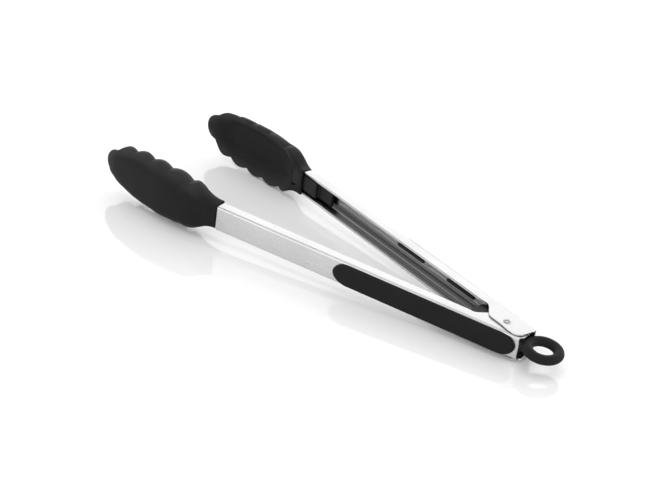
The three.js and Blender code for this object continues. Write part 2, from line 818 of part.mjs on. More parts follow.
// The heads are wider than the hinge, so the tongs lie tilted: the heads' lowest lobes and the
// rivet's foot touch the table.
const middles = notchLine.slice(2, -2).map(([x], i) => (x + notchLine[i + 3][0]) / 2);
tongs.rotation.y = Math.max(
  ...middles.map((x) =>
    Math.atan2(
      scallopedHalfWidth(x) - REST_DEPTH,
      (ARM_LENGTH + x) * Math.cos(OPEN_HALF_ANGLE) + RIVET_FOOT_RADIUS,
    ),
  ),
);

// The origin is the middle of the underside of the whole object's box.
const root = new THREE.Group();
root.add(tongs);
root.updateMatrixWorld(true);
const box = new THREE.Box3().setFromObject(root, true);
const middle = box.getCenter(new THREE.Vector3());
tongs.position.set(-middle.x, -middle.y, -box.min.z);

export default root;
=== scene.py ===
"""Spring loaded kitchen tongs: the fine pieces and their finishes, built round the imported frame.

Sizes are in millimetres in each piece's own place, and a Place turns them into the frame's metres.
An arm's place runs x from the hinge pin towards the head, y outwards and z along the pin.
The hinge's place runs x out of the hinge end, y towards the right arm and z along the pin.
"""

from __future__ import annotations

import json
import logging
import math
from collections.abc import Callable, Iterable, Sequence
from dataclasses import dataclass, field
from enum import Enum

import bmesh
import bpy
from mathutils import Matrix, Vector

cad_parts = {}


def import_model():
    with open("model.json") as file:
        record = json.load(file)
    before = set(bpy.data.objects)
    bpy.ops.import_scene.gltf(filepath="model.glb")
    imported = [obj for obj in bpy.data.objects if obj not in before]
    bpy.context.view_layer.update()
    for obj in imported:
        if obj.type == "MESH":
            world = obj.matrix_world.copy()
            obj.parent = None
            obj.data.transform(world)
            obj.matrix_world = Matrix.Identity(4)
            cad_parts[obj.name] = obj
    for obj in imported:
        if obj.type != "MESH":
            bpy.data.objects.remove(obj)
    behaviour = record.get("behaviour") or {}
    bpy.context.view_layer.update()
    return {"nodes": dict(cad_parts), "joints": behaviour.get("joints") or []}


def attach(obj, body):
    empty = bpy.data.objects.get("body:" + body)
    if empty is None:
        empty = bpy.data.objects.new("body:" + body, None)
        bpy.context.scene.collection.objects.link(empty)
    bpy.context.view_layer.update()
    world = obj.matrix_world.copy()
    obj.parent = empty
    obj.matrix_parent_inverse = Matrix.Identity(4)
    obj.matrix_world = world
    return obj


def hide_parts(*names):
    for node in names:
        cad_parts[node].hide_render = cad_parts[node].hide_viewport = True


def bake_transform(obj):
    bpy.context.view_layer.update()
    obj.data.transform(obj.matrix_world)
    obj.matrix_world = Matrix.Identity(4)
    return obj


LOG = logging.getLogger("tongs")
MM = 0.001
OPEN_HALF_ANGLE = math.radians(9.8)
GRAIN_UV = "grain"
# Mask of the sheet's inner faces, which carry painted shade.
INSIDE_SHADE_MASK = "inside"
# Mask of the heads' lips, which get a painted highlight.
LIP_HIGHLIGHT_MASK = "lip_highlight"

Point = tuple[float, float]
Station = tuple[float, float]
Spot = tuple[float, float, float]


class Side(Enum):
    """Which arm a piece belongs to, and the side of the hinge's centre line it lies on."""

    LEFT = -1
    RIGHT = 1

    @property
    def body(self) -> str:
        """The CAD body that the arm's pieces ride on."""
        return f"{self.name.lower()}_arm"

    def piece(self, name: str) -> str:
        """The name of one of this arm's pieces."""
        return f"{self.name.lower()}_{name}"


class Slot(Enum):
    """The record's material slots."""

    BRUSHED_STEEL = "brushed_steel"
    BRIGHT_STEEL = "bright_steel"
    SPRING_STEEL = "spring_steel"
    SOFT_BLACK = "soft_black"
    HARD_BLACK = "hard_black"


# ------------------------------------------------------------------ places and lines


@dataclass(frozen=True)
class Place:
    """Where a piece's own millimetres lie in the frame."""

    origin: Vector
    x: Vector
    y: Vector
    z: Vector

    def at(self, x: float, y: float, z: float) -> Vector:
        """The point in the frame, in metres, of a point of the piece in millimetres."""
        return self.origin + (self.x * x + self.y * y + self.z * z) * MM

    def inverse(self, point: Vector) -> Vector:
        """The piece's own millimetres of a point in the frame."""
        away = (point - self.origin) / MM
        return Vector((away.dot(self.x), away.dot(self.y), away.dot(self.z)))


@dataclass(frozen=True)
class Places:
    """The hinge's place and the two arms' places, as the frame's joints give them."""

    hinge: Place
    arms: dict[Side, Place]

    @classmethod
    def of(cls, joints: Sequence[dict]) -> Places:
        """Reads the pin from the arm hinge and the centre line from the lock's slide.

        Args:
            joints: The frame's joints.

        Returns:
            The places that every piece is built in.
        """
        by_name = {joint["name"]: joint for joint in joints}
        pin = Vector(by_name["arm_hinge"]["pos_m"])
        up = Vector(by_name["arm_hinge"]["axis"]).normalized()
        out = Vector(by_name["lock_pull"]["axis"]).normalized()
        across = up.cross(out)
        arms = {}
        c, s = math.cos(OPEN_HALF_ANGLE), math.sin(OPEN_HALF_ANGLE)
        for side in Side:
            along = -out * c + across * (side.value * s)
            outward = out * s + across * (side.value * c)
            arms[side] = Place(pin, along, outward, up)
        return cls(Place(pin, out, across, up), arms)


@dataclass(frozen=True)
class Line:
    """A smooth height through a few stations, level beyond the first and last."""

    stations: tuple[Station, ...]

    def slope(self, i: int) -> float:
        """The line's slope at a station.

        Args:
            i: The station's index.

        Returns:
            Rise per millimetre.
        """
        a = self.stations[max(i - 1, 0)]
        b = self.stations[min(i + 1, len(self.stations) - 1)]
        return (b[1] - a[1]) / (b[0] - a[0])

    def __call__(self, x: float) -> float:
        """The height at x.

        Args:
            x: Millimetres along the line.

        Returns:
            The height there.
        """
        i = 0
        while i < len(self.stations) - 2 and x > self.stations[i + 1][0]:
            i += 1
        (x0, y0), (x1, y1) = self.stations[i], self.stations[i + 1]
        length = x1 - x0
        t = min(max((x - x0) / length, 0.0), 1.0)
        u = 1 - t
        return (
            y0 * u * u * (1 + 2 * t)
            + y1 * t * t * (3 - 2 * t)
            + self.slope(i) * length * t * u * u
            - self.slope(i + 1) * length * t * t * u
        )


def smoothstep(low: float, high: float, x: float) -> float:
    """0 before low, 1 after high and a smooth rise between them."""
    t = min(max((x - low) / (high - low), 0.0), 1.0)
    return t * t * (3 - 2 * t)


def steps(start: float, end: float, count: int) -> list[float]:
    """count + 1 evenly spaced values from start to end."""
    return [start + (end - start) * i / count for i in range(count + 1)]


def arc(centre: Point, radius: float, start: float, end: float, count: int) -> list[Point]:
    """Points along a circular arc between two angles in degrees, both ends included."""
    angles = (math.radians(a) for a in steps(start, end, count))
    return [(centre[0] + radius * math.cos(a), centre[1] + radius * math.sin(a)) for a in angles]


def stadium(start: float, end: float, height: float, segments: int = 16) -> list[Point]:
    """A strip with two half-round ends, centred on the x axis."""
    return oval_strip(start, end, height, height / 2, segments)


def oval_strip(
    start: float, end: float, height: float, reach: float, segments: int = 16
) -> list[Point]:
    """A strip with two half-oval ends, centred on the x axis.

    Args:
        start: The strip's first end.
        end: Its last end.
        height: Its height.
        reach: Length of each half-oval end.
        segments: Number of segments round each end.

    Returns:
        The strip's outline.
    """
    half = height / 2
    last = [(end - reach + reach * x, half * y) for x, y in arc((0, 0), 1, -90, 90, segments)]
    first = [(start + reach + reach * x, half * y) for x, y in arc((0, 0), 1, 90, 270, segments)]
    return [*last, *first]


def raised(outline: Sequence[Point], level: float) -> list[Point]:
    """The same outline with its middle line at a level."""
    return [(x, y + level) for x, y in outline]


# ------------------------------------------------------------------ mesh work


class Skin:
    """A mesh under construction, in one place's millimetres."""

    def __init__(self, place: Place) -> None:
        """Starts an empty mesh in a place."""
        self.place = place
        self.mesh = bmesh.new()

    def ring(self, points: Iterable[Sequence[float]]) -> list[bmesh.types.BMVert]:
        """Adds a row of vertices at points of the place."""
        return [self.mesh.verts.new(self.place.at(*p)) for p in points]

    def bridge(
        self,
        a: Sequence[bmesh.types.BMVert],
        b: Sequence[bmesh.types.BMVert],
        closed: bool = True,
    ) -> None:
        """Joins two rows with a band of quads.

        Args:
            a: First row.
            b: Second row, with as many vertices.
            closed: Whether the rows run all the way round.
        """
        for i in range(len(a) if closed else len(a) - 1):
            j = (i + 1) % len(a)
            self.mesh.faces.new((a[i], a[j], b[j], b[i]))

    def wrap(self, rows: Sequence[Sequence[bmesh.types.BMVert]]) -> None:
        """Joins rows in turn and the last one to the first."""
        for a, b in zip(rows, [*rows[1:], rows[0]]):
            self.bridge(a, b)

    def fold_cap(self, row: Sequence[bmesh.types.BMVert]) -> None:
        """Closes a row whose second half runs back beside its first half."""
        for i in range(len(row) // 2 - 1):
            self.mesh.faces.new((row[i], row[i + 1], row[-i - 2], row[-i - 1]))

    def loft(self, rows: Iterable[Iterable[Sequence[float]]], folded: bool = False) -> None:
        """Adds a closed skin over rings of points.

        Args:
            rows: The rings, in order, each with as many points.
            folded: Whether the ends close as folds and not as flat faces.
        """
        made = [self.ring(row) for row in rows]
        for a, b in zip(made, made[1:]):
            self.bridge(a, b)
        for end in (made[0], made[-1]):
            if folded:
                self.fold_cap(end)
            else:
                self.mesh.faces.new(end)

    def prism(self, outline: Sequence[Point], low: float, high: float) -> None:
        """Adds a plate with its outline in x and y, from z = low to z = high."""
        self.loft([[(x, y, z) for x, y in outline] for z in (low, high)])

    def upright_prism(self, outline: Sequence[Point], low: float, high: float) -> None:
        """Adds a plate with its outline in x and z, from y = low to y = high."""
        self.loft([[(x, y, z) for x, z in outline] for y in (low, high)])

    def block(self, x: Point, y: Point, z: Point) -> None:
        """Adds a box between pairs of limits."""
        self.prism([(x[0], y[0]), (x[1], y[0]), (x[1], y[1]), (x[0], y[1])], *z)

    def lathe(self, profile: Sequence[Point], segments: int = 64) -> None:
        """Adds a turned solid round z from (radius, z) points that start and end on the axis.

        Args:
            profile: The (radius, z) points.
            segments: Number of faces round the axis.
        """
        first = self.ring([(0, 0, profile[0][1])])[0]
        last = self.ring([(0, 0, profile[-1][1])])[0]
        turns = [2 * math.pi * i / segments for i in range(segments)]
        rows = [
            self.ring([(r * math.cos(a), r * math.sin(a), z) for a in turns])
            for r, z in profile[1:-1]
        ]
        for a, b in zip(rows, rows[1:]):
            self.bridge(a, b)
        for tip, row in ((first, rows[0]), (last, rows[-1])):
            for i in range(segments):
                self.mesh.faces.new((tip, row[i], row[(i + 1) % segments]))

    def object(self, name: str) -> bpy.types.Object:
        """Turns the mesh into a smooth shaded object with its faces pointing out.

        Args:
            name: The object's name.

        Returns:
            The object, linked to the scene.
        """
        bmesh.ops.remove_doubles(self.mesh, verts=self.mesh.verts, dist=1e-7)
        bmesh.ops.recalc_face_normals(self.mesh, faces=self.mesh.faces)
        data = bpy.data.meshes.new(name)
        self.mesh.to_mesh(data)
        self.mesh.free()
        data.shade_smooth()
        made = bpy.data.objects.new(name, data)
        bpy.context.scene.collection.objects.link(made)
        return made


def apply_modifiers(piece: bpy.types.Object) -> None:
    """Keeps the piece's modified shape as its mesh.

    Args:
        piece: The piece.
    """
    graph = bpy.context.evaluated_depsgraph_get()
    made = bpy.data.meshes.new_from_object(piece.evaluated_get(graph))
    piece.modifiers.clear()
    piece.data = made


def carve(piece: bpy.types.Object, cutter: Skin) -> None:
    """Cuts the cutter's solids out of a piece.

    Args:
        piece: The piece.
        cutter: The solids that are cut out of it.
    """
    tool = cutter.object(piece.name + "_cutter")
    change = piece.modifiers.new("carve", "BOOLEAN")
    change.operation = "DIFFERENCE"
    change.solver = "EXACT"
    change.object = tool
    apply_modifiers(piece)
    bpy.data.objects.remove(tool)


def soften(piece: bpy.types.Object, width: float, segments: int = 2, angle: float = 35) -> None:
    """Rounds a piece's sharp edges.

    Args:
        piece: The piece.
        width: Width of the rounding, in millimetres.
        segments: Faces across the rounding.
        angle: Edges sharper than this many degrees are rounded.
    """
    bevel = piece.modifiers.new("soften", "BEVEL")
    bevel.width = width * MM
    bevel.segments = segments
    bevel.limit_method = "ANGLE"
    bevel.angle_limit = math.radians(angle)
    bevel.use_clamp_overlap = True
    bevel.harden_normals = False
    weighted = piece.modifiers.new("weights", "WEIGHTED_NORMAL")
    weighted.weight = 80
    apply_modifiers(piece)
    piece.data.shade_smooth()


def paint_grain(piece: bpy.types.Object, place: Place, web: float) -> None:
    """Lays the sheet's unfolded width and length into a UV map, for the brushed grain.

    Args:
        piece: The piece of sheet.
        place: The piece's place.
        web: Distance of the sheet's back from the place's middle plane.
    """
    layer = piece.data.uv_layers.get(GRAIN_UV) or piece.data.uv_layers.new(name=GRAIN_UV)
    own = [place.inverse(v.co) for v in piece.data.vertices]
    for loop in piece.data.loops:
        p = own[loop.vertex_index]
        around = p.z + math.copysign(web - p.y, p.z)
        layer.data[loop.index].uv = (p.x * 0.01, around * 0.01)


def paint_inside_shade(piece: bpy.types.Object, is_inside: Callable[[Vector], bool], place: Place) -> None:
    """Marks the sheet's inner faces, which get painted shade: a darker tone for the shadow inside
    the channel.

    Args:
        piece: The piece of sheet.
        is_inside: Whether a point of the place lies on an inner face.
        place: The piece's place.
    """
    mask = piece.data.attributes.new(INSIDE_SHADE_MASK, "FLOAT", "FACE")
    for face in piece.data.polygons:
        mask.data[face.index].value = float(is_inside(place.inverse(face.center)))


# ------------------------------------------------------------------ finishes


class Graph:
    """A material's node tree, with short calls to add and join its nodes."""

    def __init__(self, name: str) -> None:
        """Makes a material that holds only its shader and output.

        Args:
            name: The material's name.
        """
        self.material = bpy.data.materials.new(name)
        self.material.use_nodes = True
        self.nodes = self.material.node_tree.nodes
        self.shader = self.nodes["Principled BSDF"]

    def add(self, kind: str, settings: dict | None = None, **inputs: object) -> bpy.types.Node:
        """Adds a node.

        Args:
            kind: The node's type name.
            settings: Its own properties.
            **inputs: Values or other nodes' sockets for its inputs, with _ for each space.

        Returns:
            The node.
        """
        made = self.nodes.new(kind)
        for key, value in (settings or {}).items():
            setattr(made, key, value)
        for key, value in inputs.items():
            self.feed(made, key.replace("_", " "), value)
        return made

    def feed(self, node: bpy.types.Node, name: str, value: object) -> None:
        """Gives one input a plain value or joins it to a socket.

        Args:
            node: The node.
            name: The input's name.
            value: A plain value, or the socket to join.
        """
        socket = node.inputs[name]
        if isinstance(value, bpy.types.NodeSocket):
            self.material.node_tree.links.new(value, socket)
        else:
            socket.default_value = value

    def set(self, **inputs: object) -> None:
        """Gives the shader's inputs plain values or joins them to sockets."""
        for key, value in inputs.items():
            self.feed(self.shader, key.replace("_", " "), value)

    def ramp(self, source: bpy.types.NodeSocket, low: Sequence[float], high: Sequence[float],
             start: float = 0.3, end: float = 0.7) -> bpy.types.NodeSocket:
        """Turns a value into a colour between two colours.

        Args:
            source: The value.
            low: Colour at the start.
            high: Colour at the end.
            start: Value at which the change starts.
            end: Value at which it ends.

        Returns:
            The colour's socket.
        """
        made = self.add("ShaderNodeValToRGB", Fac=source)
        for stop, at, colour in zip(made.color_ramp.elements, (start, end), (low, high)):
            stop.position = at
            stop.color = (*colour, 1)
        return made.outputs["Color"]

    def range(self, source: bpy.types.NodeSocket, low: float, high: float) -> bpy.types.NodeSocket:
        """Spreads a value from 0.3..0.7 to low..high.

        Args:
            source: The value.
            low: Lowest result.
            high: Highest result.

        Returns:
            The result's socket.
        """
        made = self.add("ShaderNodeMapRange", Value=source)
        for name, value in (("From Min", 0.3), ("From Max", 0.7), ("To Min", low), ("To Max", high)):
            made.inputs[name].default_value = value
        return made.outputs["Result"]


def grey(value: float, warmth: float = 0.0) -> Spot:
    """A neutral colour, a little warmer or cooler."""
    return (value * (1 + warmth), value, value * (1 - warmth))


@dataclass(frozen=True)
class BrushedSteel:
    """Satin stainless sheet with fine lines along its length, and painted shade darkening its inner
    faces.
    """

    name: str = "satin_steel_sheet"
    slot: Slot = Slot.BRUSHED_STEEL
    light: float = 0.61
    dark: float = 0.56
    # Tones of the inner faces: painted shade for the channel's shadowed inside.
    inside_shade_light: float = 0.40
    inside_shade_dark: float = 0.12
    roughness: Point = (0.24, 0.30)
    lines: float = 260.0

    def material(self) -> bpy.types.Material:
        """Builds the material.

        Returns:
            The material.
        """
        g = Graph(self.name)
        grain = g.add("ShaderNodeUVMap", {"uv_map": GRAIN_UV}).outputs["UV"]
        stretched = g.add("ShaderNodeMapping", Vector=grain, Scale=(0.55, self.lines, 1.0))
        streaks = g.add(
            "ShaderNodeTexNoise", Vector=stretched.outputs["Vector"], Scale=1.0, Detail=3.0,
            Roughness=0.6,
        ).outputs["Fac"]
        spot = g.add("ShaderNodeTexCoord").outputs["Object"]
        clouds = g.add("ShaderNodeTexNoise", Vector=spot, Scale=38.0, Detail=2.0).outputs["Fac"]
        bands = g.add("ShaderNodeMapping", Vector=grain, Scale=(0.3, self.lines / 5, 1.0))
        bands = g.add("ShaderNodeTexNoise", Vector=bands.outputs["Vector"], Scale=1.0, Detail=2.0)
        # The inner faces' colours are painted shade: darker tones for the shadow inside the channel,
        # with random bands.
        outside = g.ramp(clouds, grey(self.dark), grey(self.light))
        inside = g.ramp(bands.outputs["Fac"], grey(self.inside_shade_dark), grey(self.inside_shade_light))
        mask = g.add("ShaderNodeAttribute", {"attribute_name": INSIDE_SHADE_MASK}).outputs["Fac"]
        colour = g.add("ShaderNodeMixRGB", Fac=mask, Color1=outside, Color2=inside)
        bump = g.add("ShaderNodeBump", Height=streaks, Strength=0.035, Distance=0.00002)
        tangent = g.add("ShaderNodeTangent", {"direction_type": "UV_MAP", "uv_map": GRAIN_UV})
        g.set(
            Base_Color=colour.outputs["Color"],
            Metallic=1.0,
            Roughness=g.range(streaks, *self.roughness),
            Anisotropic=0.35,
            Tangent=tangent.outputs["Tangent"],
            Normal=bump.outputs["Normal"],
        )
        return g.material


@dataclass(frozen=True)
class BrightSteel:
    """Formed or turned steel with faint tool marks."""

    name: str = "bright_formed_steel"
    slot: Slot = Slot.BRIGHT_STEEL
    light: float = 0.88
    dark: float = 0.80
    roughness: Point = (0.2, 0.32)
    marks: float = 900.0
    detail: float = 3.0
    relief: float = 0.08
    warmth: Point = (0.0, 0.0)

    def material(self) -> bpy.types.Material:
        """Builds the material.

        Returns:
            The material.
        """
        g = Graph(self.name)
        spot = g.add("ShaderNodeTexCoord").outputs["Object"]
        marks = g.add("ShaderNodeTexNoise", Vector=spot, Scale=self.marks, Detail=self.detail)
        marks = marks.outputs["Fac"]
        bump = g.add("ShaderNodeBump", Height=marks, Strength=self.relief, Distance=0.00003)
        tones = (grey(v, w) for v, w in zip((self.dark, self.light), self.warmth))
        g.set(
            Base_Color=g.ramp(marks, *tones),
            Metallic=1.0,
            Roughness=g.range(marks, *self.roughness),
            Normal=bump.outputs["Normal"],
        )
        return g.material


@dataclass(frozen=True)
class TurnedSteel(BrightSteel):
    """Turned and closed rivet steel: darker and more mirror-like than the sheet."""

    name: str = "turned_rivet_steel"
    light: float = 0.50
    dark: float = 0.40
    roughness: Point = (0.08, 0.16)


@dataclass(frozen=True)
class SoftRubber:
    """Soft matte silicone: near black, with a fine even grain, a light bloom and a painted highlight
    along the heads' scalloped lips.
    """

    name: str = "soft_matte_rubber"
    slot: Slot = Slot.SOFT_BLACK
    light: float = 0.011
    dark: float = 0.008
    # Lighter tones of the painted highlight on the heads' lips.
    lip_highlight_light: float = 0.030
    lip_highlight_dark: float = 0.020
    roughness: Point = (0.5, 0.62)
    grain: float = 5200.0
    specular: float = 0.11
    sheen: float = 0.01

    def material(self) -> bpy.types.Material:
        """Builds the material.

        Returns:
            The material.
        """
        g = Graph(self.name)
        spot = g.add("ShaderNodeTexCoord").outputs["Object"]
        grain = g.add("ShaderNodeTexNoise", Vector=spot, Scale=self.grain, Detail=2.0).outputs["Fac"]
        bloom = g.add("ShaderNodeTexNoise", Vector=spot, Scale=95.0, Detail=4.0).outputs["Fac"]
        bump = g.add("ShaderNodeBump", Height=grain, Strength=0.22, Distance=0.00004)
        # Lighter colour along the lips is a painted highlight, standing in for the light the
        # upturned lips catch.
        unhighlighted = g.ramp(bloom, grey(self.dark), grey(self.light))
        highlighted = g.ramp(bloom, grey(self.lip_highlight_dark), grey(self.lip_highlight_light))
        mask = g.add("ShaderNodeAttribute", {"attribute_name": LIP_HIGHLIGHT_MASK}).outputs["Fac"]
        colour = g.add("ShaderNodeMixRGB", Fac=mask, Color1=unhighlighted, Color2=highlighted)
        g.set(
            Base_Color=colour.outputs["Color"],
            Roughness=g.range(bloom, *self.roughness),
            Specular_IOR_Level=self.specular,
            Sheen_Weight=self.sheen,
            Sheen_Roughness=0.4,
            Normal=bump.outputs["Normal"],
        )
        return g.material


@dataclass(frozen=True)
class HardNylon:
    """Stiff moulded nylon with a spark-eroded texture."""

    name: str = "moulded_black_nylon"
    slot: Slot = Slot.HARD_BLACK
    light: float = 0.010
    dark: float = 0.006
    roughness: Point = (0.4, 0.52)
    texture: float = 2600.0
    specular: float = 0.2

    def material(self) -> bpy.types.Material:
        """Builds the material.

        Returns:
            The material.
        """
        g = Graph(self.name)
        spot = g.add("ShaderNodeTexCoord").outputs["Object"]
        cells = g.add("ShaderNodeTexVoronoi", Vector=spot, Scale=self.texture).outputs["Distance"]
        clouds = g.add("ShaderNodeTexNoise", Vector=spot, Scale=160.0, Detail=3.0).outputs["Fac"]
        bump = g.add("ShaderNodeBump", Height=cells, Strength=0.2, Distance=0.00005)
        g.set(
            Base_Color=g.ramp(clouds, grey(self.dark), grey(self.light)),
            Roughness=g.range(clouds, *self.roughness),
            Specular_IOR_Level=self.specular,
            Normal=bump.outputs["Normal"],
        )
        return g.material


@dataclass(frozen=True)
class DrawnWire(BrightSteel):
    """Spring wire with draw marks and a dull oil tint."""

    name: str = "drawn_spring_wire"
    slot: Slot = Slot.SPRING_STEEL
    light: float = 0.52
    dark: float = 0.38
    roughness: Point = (0.3, 0.44)
    marks: float = 1400.0
    detail: float = 4.0
    relief: float = 0.12
    warmth: Point = (0.02, 0.01)


@dataclass(frozen=True)
class PaleFloor:
    """A glossy white table top, very slightly uneven in tone."""

    name: str = "pale_floor"
    light: float = 0.90
    dark: float = 0.88
    roughness: float = 0.06
    specular: float = 0.55

    def material(self) -> bpy.types.Material:
        """Builds the material.

        Returns:
            The material.
        """
        g = Graph(self.name)
        spot = g.add("ShaderNodeTexCoord").outputs["Object"]
        clouds = g.add("ShaderNodeTexNoise", Vector=spot, Scale=3.0).outputs["Fac"]
        g.set(
            Base_Color=g.ramp(clouds, grey(self.dark), grey(self.light)),
            Roughness=self.roughness,
            Specular_IOR_Level=self.specular,
        )
        return g.material


Finish = BrushedSteel | BrightSteel | SoftRubber | HardNylon


class Wardrobe:
    """Makes each finish's material once and gives it to pieces."""

    def __init__(self) -> None:
        """Starts with no materials made."""
        self.made: dict[str, bpy.types.Material] = {}

    def dress(self, piece: bpy.types.Object, finish: Finish) -> None:
        """Gives a piece a finish's material.

        Args:
            piece: The piece.
            finish: Its finish.
        """
        if finish.name not in self.made:
            self.made[finish.name] = finish.material()
        piece.data.materials.clear()
        piece.data.materials.append(self.made[finish.name])


class Bench:
    """Puts finished pieces on their bodies, in place of their CAD nodes."""

    def __init__(self, places: Places) -> None:
        """Starts with the frame's places and an empty wardrobe."""
        self.places = places
        self.wardrobe = Wardrobe()

    def fit(self, piece: bpy.types.Object, finish: Finish, body: str, *nodes: str) -> None:
        """Dresses a piece and lets it ride on a body in place of CAD nodes.

        Args:
            piece: The piece.
            finish: Its finish.
            body: The CAD body it moves with.
            *nodes: The CAD nodes it stands for.
        """
        self.wardrobe.dress(piece, finish)
        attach(piece, body)
        if nodes:
            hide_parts(*nodes)
        LOG.info("%s: %d faces on %s", piece.name, len(piece.data.polygons), body)


# ------------------------------------------------------------------ steel arms


@dataclass(frozen=True)
class Channel:
    """A pressed steel channel arm, with ears round the pin, hemmed edges and grip slots."""

    side: Side
    length: float = 200.6
    neck_length: float = 11.4
    neck_step: float = 0.75
    sheet: float = 0.8
    web: float = 9.9
    flange_edge: float = 2.5
    head_height: float = 16.4
    inner_hinge_height: float = 15.2
    ear_gap: float = 0.3
    hinge_zone: float = 25.0
    bend: float = 1.4
    ear_reach: float = 15.8
    ear_depth: float = 5.1
    ear_tips: tuple[float, float] = (5.1, 6.1)
    ear_corner: float = 7.0
    ear_flat: float = 8.0
    ear_blend_end: float = 21.5
    edge_swell: float = 0.4
    swell_fade: float = 3.0
    end_zone: float = 4.0
    web_ends: tuple[float, float] = (13.7, 14.8)
    hem_depth: float = 2.2
    hem_thickness: float = 0.7
    hem_margin: float = 1.5
    hem_start_share: float = 0.35
    hem_sink: float = 0.05
    hem_overhang: float = 0.12
    pin_hole: float = 1.62
    slots: tuple[Point, ...] = ((37.3, 62.9), (84.5, 110.1))
    slot_height: float = 2.4
    slot_level: float = 0.6
    edge_rounding: float = 0.16

    @property
    def web_end(self) -> float:
        """How far the web reaches past the pin."""
        return self.web_ends[self.side is Side.RIGHT]

    @property
    def ear_tip(self) -> float:
        """How far the ears' ends reach over the centre line."""
        return self.ear_tips[self.side is Side.RIGHT]

    @property
    def hinge_height(self) -> float:
        """Outside height at the hinge: the right arm's ears lie over the left arm's."""
        over = 2 * (self.sheet + self.ear_gap) if self.side is Side.RIGHT else 0
        return self.inner_hinge_height + over

    def half_height(self, x: float) -> float:
        """Half the channel's outside height, stepped in under the head's collar.

        Args:
            x: Millimetres along the arm from the pin.

        Returns:
            The half height.
        """
        share = min(max((x - self.hinge_zone) / (self.length - self.hinge_zone), 0), 1)
        plain = self.hinge_height + (self.head_height - self.hinge_height) * share
        return plain / 2 - self.neck_step * self.neck_share(x)

    def neck_share(self, x: float) -> float:
        """0 along the arm and 1 in the neck under the collar."""
        return smoothstep(self.length - self.neck_step, self.length, x)

    def edge(self, x: float) -> float:
        """The flanges' inner edge: deep at the ears, shallow along the arm.

        Args:
            x: Millimetres along the arm from the pin.

        Returns:
            The edge's distance outwards from the centre plane.
        """
        corner_end = self.ear_corner - self.ear_reach
        if x < corner_end:
            t = math.sqrt(min((x + self.ear_reach) / self.ear_corner, 1))
            return self.ear_corner * (1 - t) ** 2 - self.ear_tip
        if x < 0:
            share = x / corner_end
            return share * -self.ear_tip - (1 - share) * self.ear_depth
        blend = self.ear_blend_end - self.ear_flat
        share = (x - self.ear_flat) / blend
        swell = 1 - smoothstep(self.ear_blend_end, self.ear_blend_end + self.swell_fade, x)
        rise = smoothstep(0.02, 0.98, share)
        return (self.flange_edge + self.edge_swell * swell) * rise - self.ear_depth * (1 - rise)

    def wall(self, x: float, depth: float) -> list[Spot]:
        """The section's wall at one depth below its outside, from flange edge to flange edge.

        Args:
            x: Millimetres along the arm from the pin.
            depth: Depth below the outside.

        Returns:
            The points of the wall.
        """
        half = self.half_height(x) - depth
        web = self.web - self.neck_step * self.neck_share(x) - depth
        radius = self.bend - depth
        edge = self.edge(x)
        top = [(y, half) for y in steps(edge, web - radius, 5)[:-1]]
        top += [(y, z) for y, z in reversed(arc((web - radius, half - radius), radius, 0, 90, 6))]
        flat = half - radius
        middle = [(web, z) for z in steps(flat, -flat, 6)[1:-1]]
        bottom = [(y, -z) for y, z in reversed(top)]
        slack = max(0.0, 1 - (x + self.ear_reach) / self.end_zone)
        shift = (self.ear_reach - self.web_end) * slack
        return [
            (x + shift * smoothstep(web - 2, web, y), y, z) for y, z in (*top, *middle, *bottom)
        ]

    def ring(self, x: float) -> list[Spot]:
        """One closed ring: the outside wall and the inside wall back again."""
        return [*self.wall(x, 0), *reversed(self.wall(x, self.sheet))]

    def stations(self) -> list[float]:
        """Stations along the arm, close together where its shape changes.

        Returns:
            Millimetres along the arm from the pin.
        """
        corner = [self.ear_corner * t * t - self.ear_reach for t in steps(0, 1, 8)]
        plain = self.ear_blend_end + self.swell_fade + 0.5
        step = self.length - self.neck_step
        ears = steps(corner[-1], self.ear_flat, 4)[1:]
        blend = steps(self.ear_flat, plain, 18)[1:]
        body = steps(plain, step, 24)[1:]
        neck = steps(step, self.length, 3)[1:]
        return [*corner, *ears, *blend, *body, *neck, self.length + self.neck_length]

    def hem_rows(self, turn: int) -> list[list[Spot]]:
        """Rings of the strip folded back inside one flange's edge, with its rounded fold.

        Args:
            turn: 1 for the upper flange and -1 for the lower one.

        Returns:
            The rings, from the hinge to the head.
        """
        rows = []
        start, end = self.hinge_zone + self.hem_margin, self.length - self.hem_margin
        for x in (start, *steps(start + 2, end, 8)):
            depth = self.hem_depth * (self.hem_start_share if x == start else 1)
            outside = self.half_height(x) - self.sheet + self.hem_sink
            inside = outside - self.hem_thickness
            low = self.flange_edge - self.hem_overhang
            section = [
                (low + 0.35, outside),
                (low, outside - 0.2),
                (low, inside + 0.2),
                (low + 0.2, inside),
                (low + depth - 0.2, inside),
                (low + depth, inside + 0.25),
                (low + depth, outside),
            ]
            rows.append([(x, y, turn * z) for y, z in section])
        return rows

    def cutter(self, place: Place) -> Skin:
        """The grip slots and the pin's holes.

        Args:
            place: The place it is built in.

        Returns:
            The solids to cut out of the channel.
        """
        tool = Skin(place)
        for start, end in self.slots:
            outline = raised(stadium(start, end, self.slot_height), self.slot_level)
            tool.upright_prism(outline, self.web - self.sheet - 1, self.web + 1)
        far = self.hinge_height
        tool.lathe([(0, -far), (self.pin_hole, -far), (self.pin_hole, far), (0, far)], 40)
        return tool

    def is_inside(self, point: Vector) -> bool:
        """Whether a point of the sheet lies on its inner side."""
        skin = 0.75 * self.sheet
        return point.y < self.web - skin and abs(point.z) < self.half_height(point.x) - skin

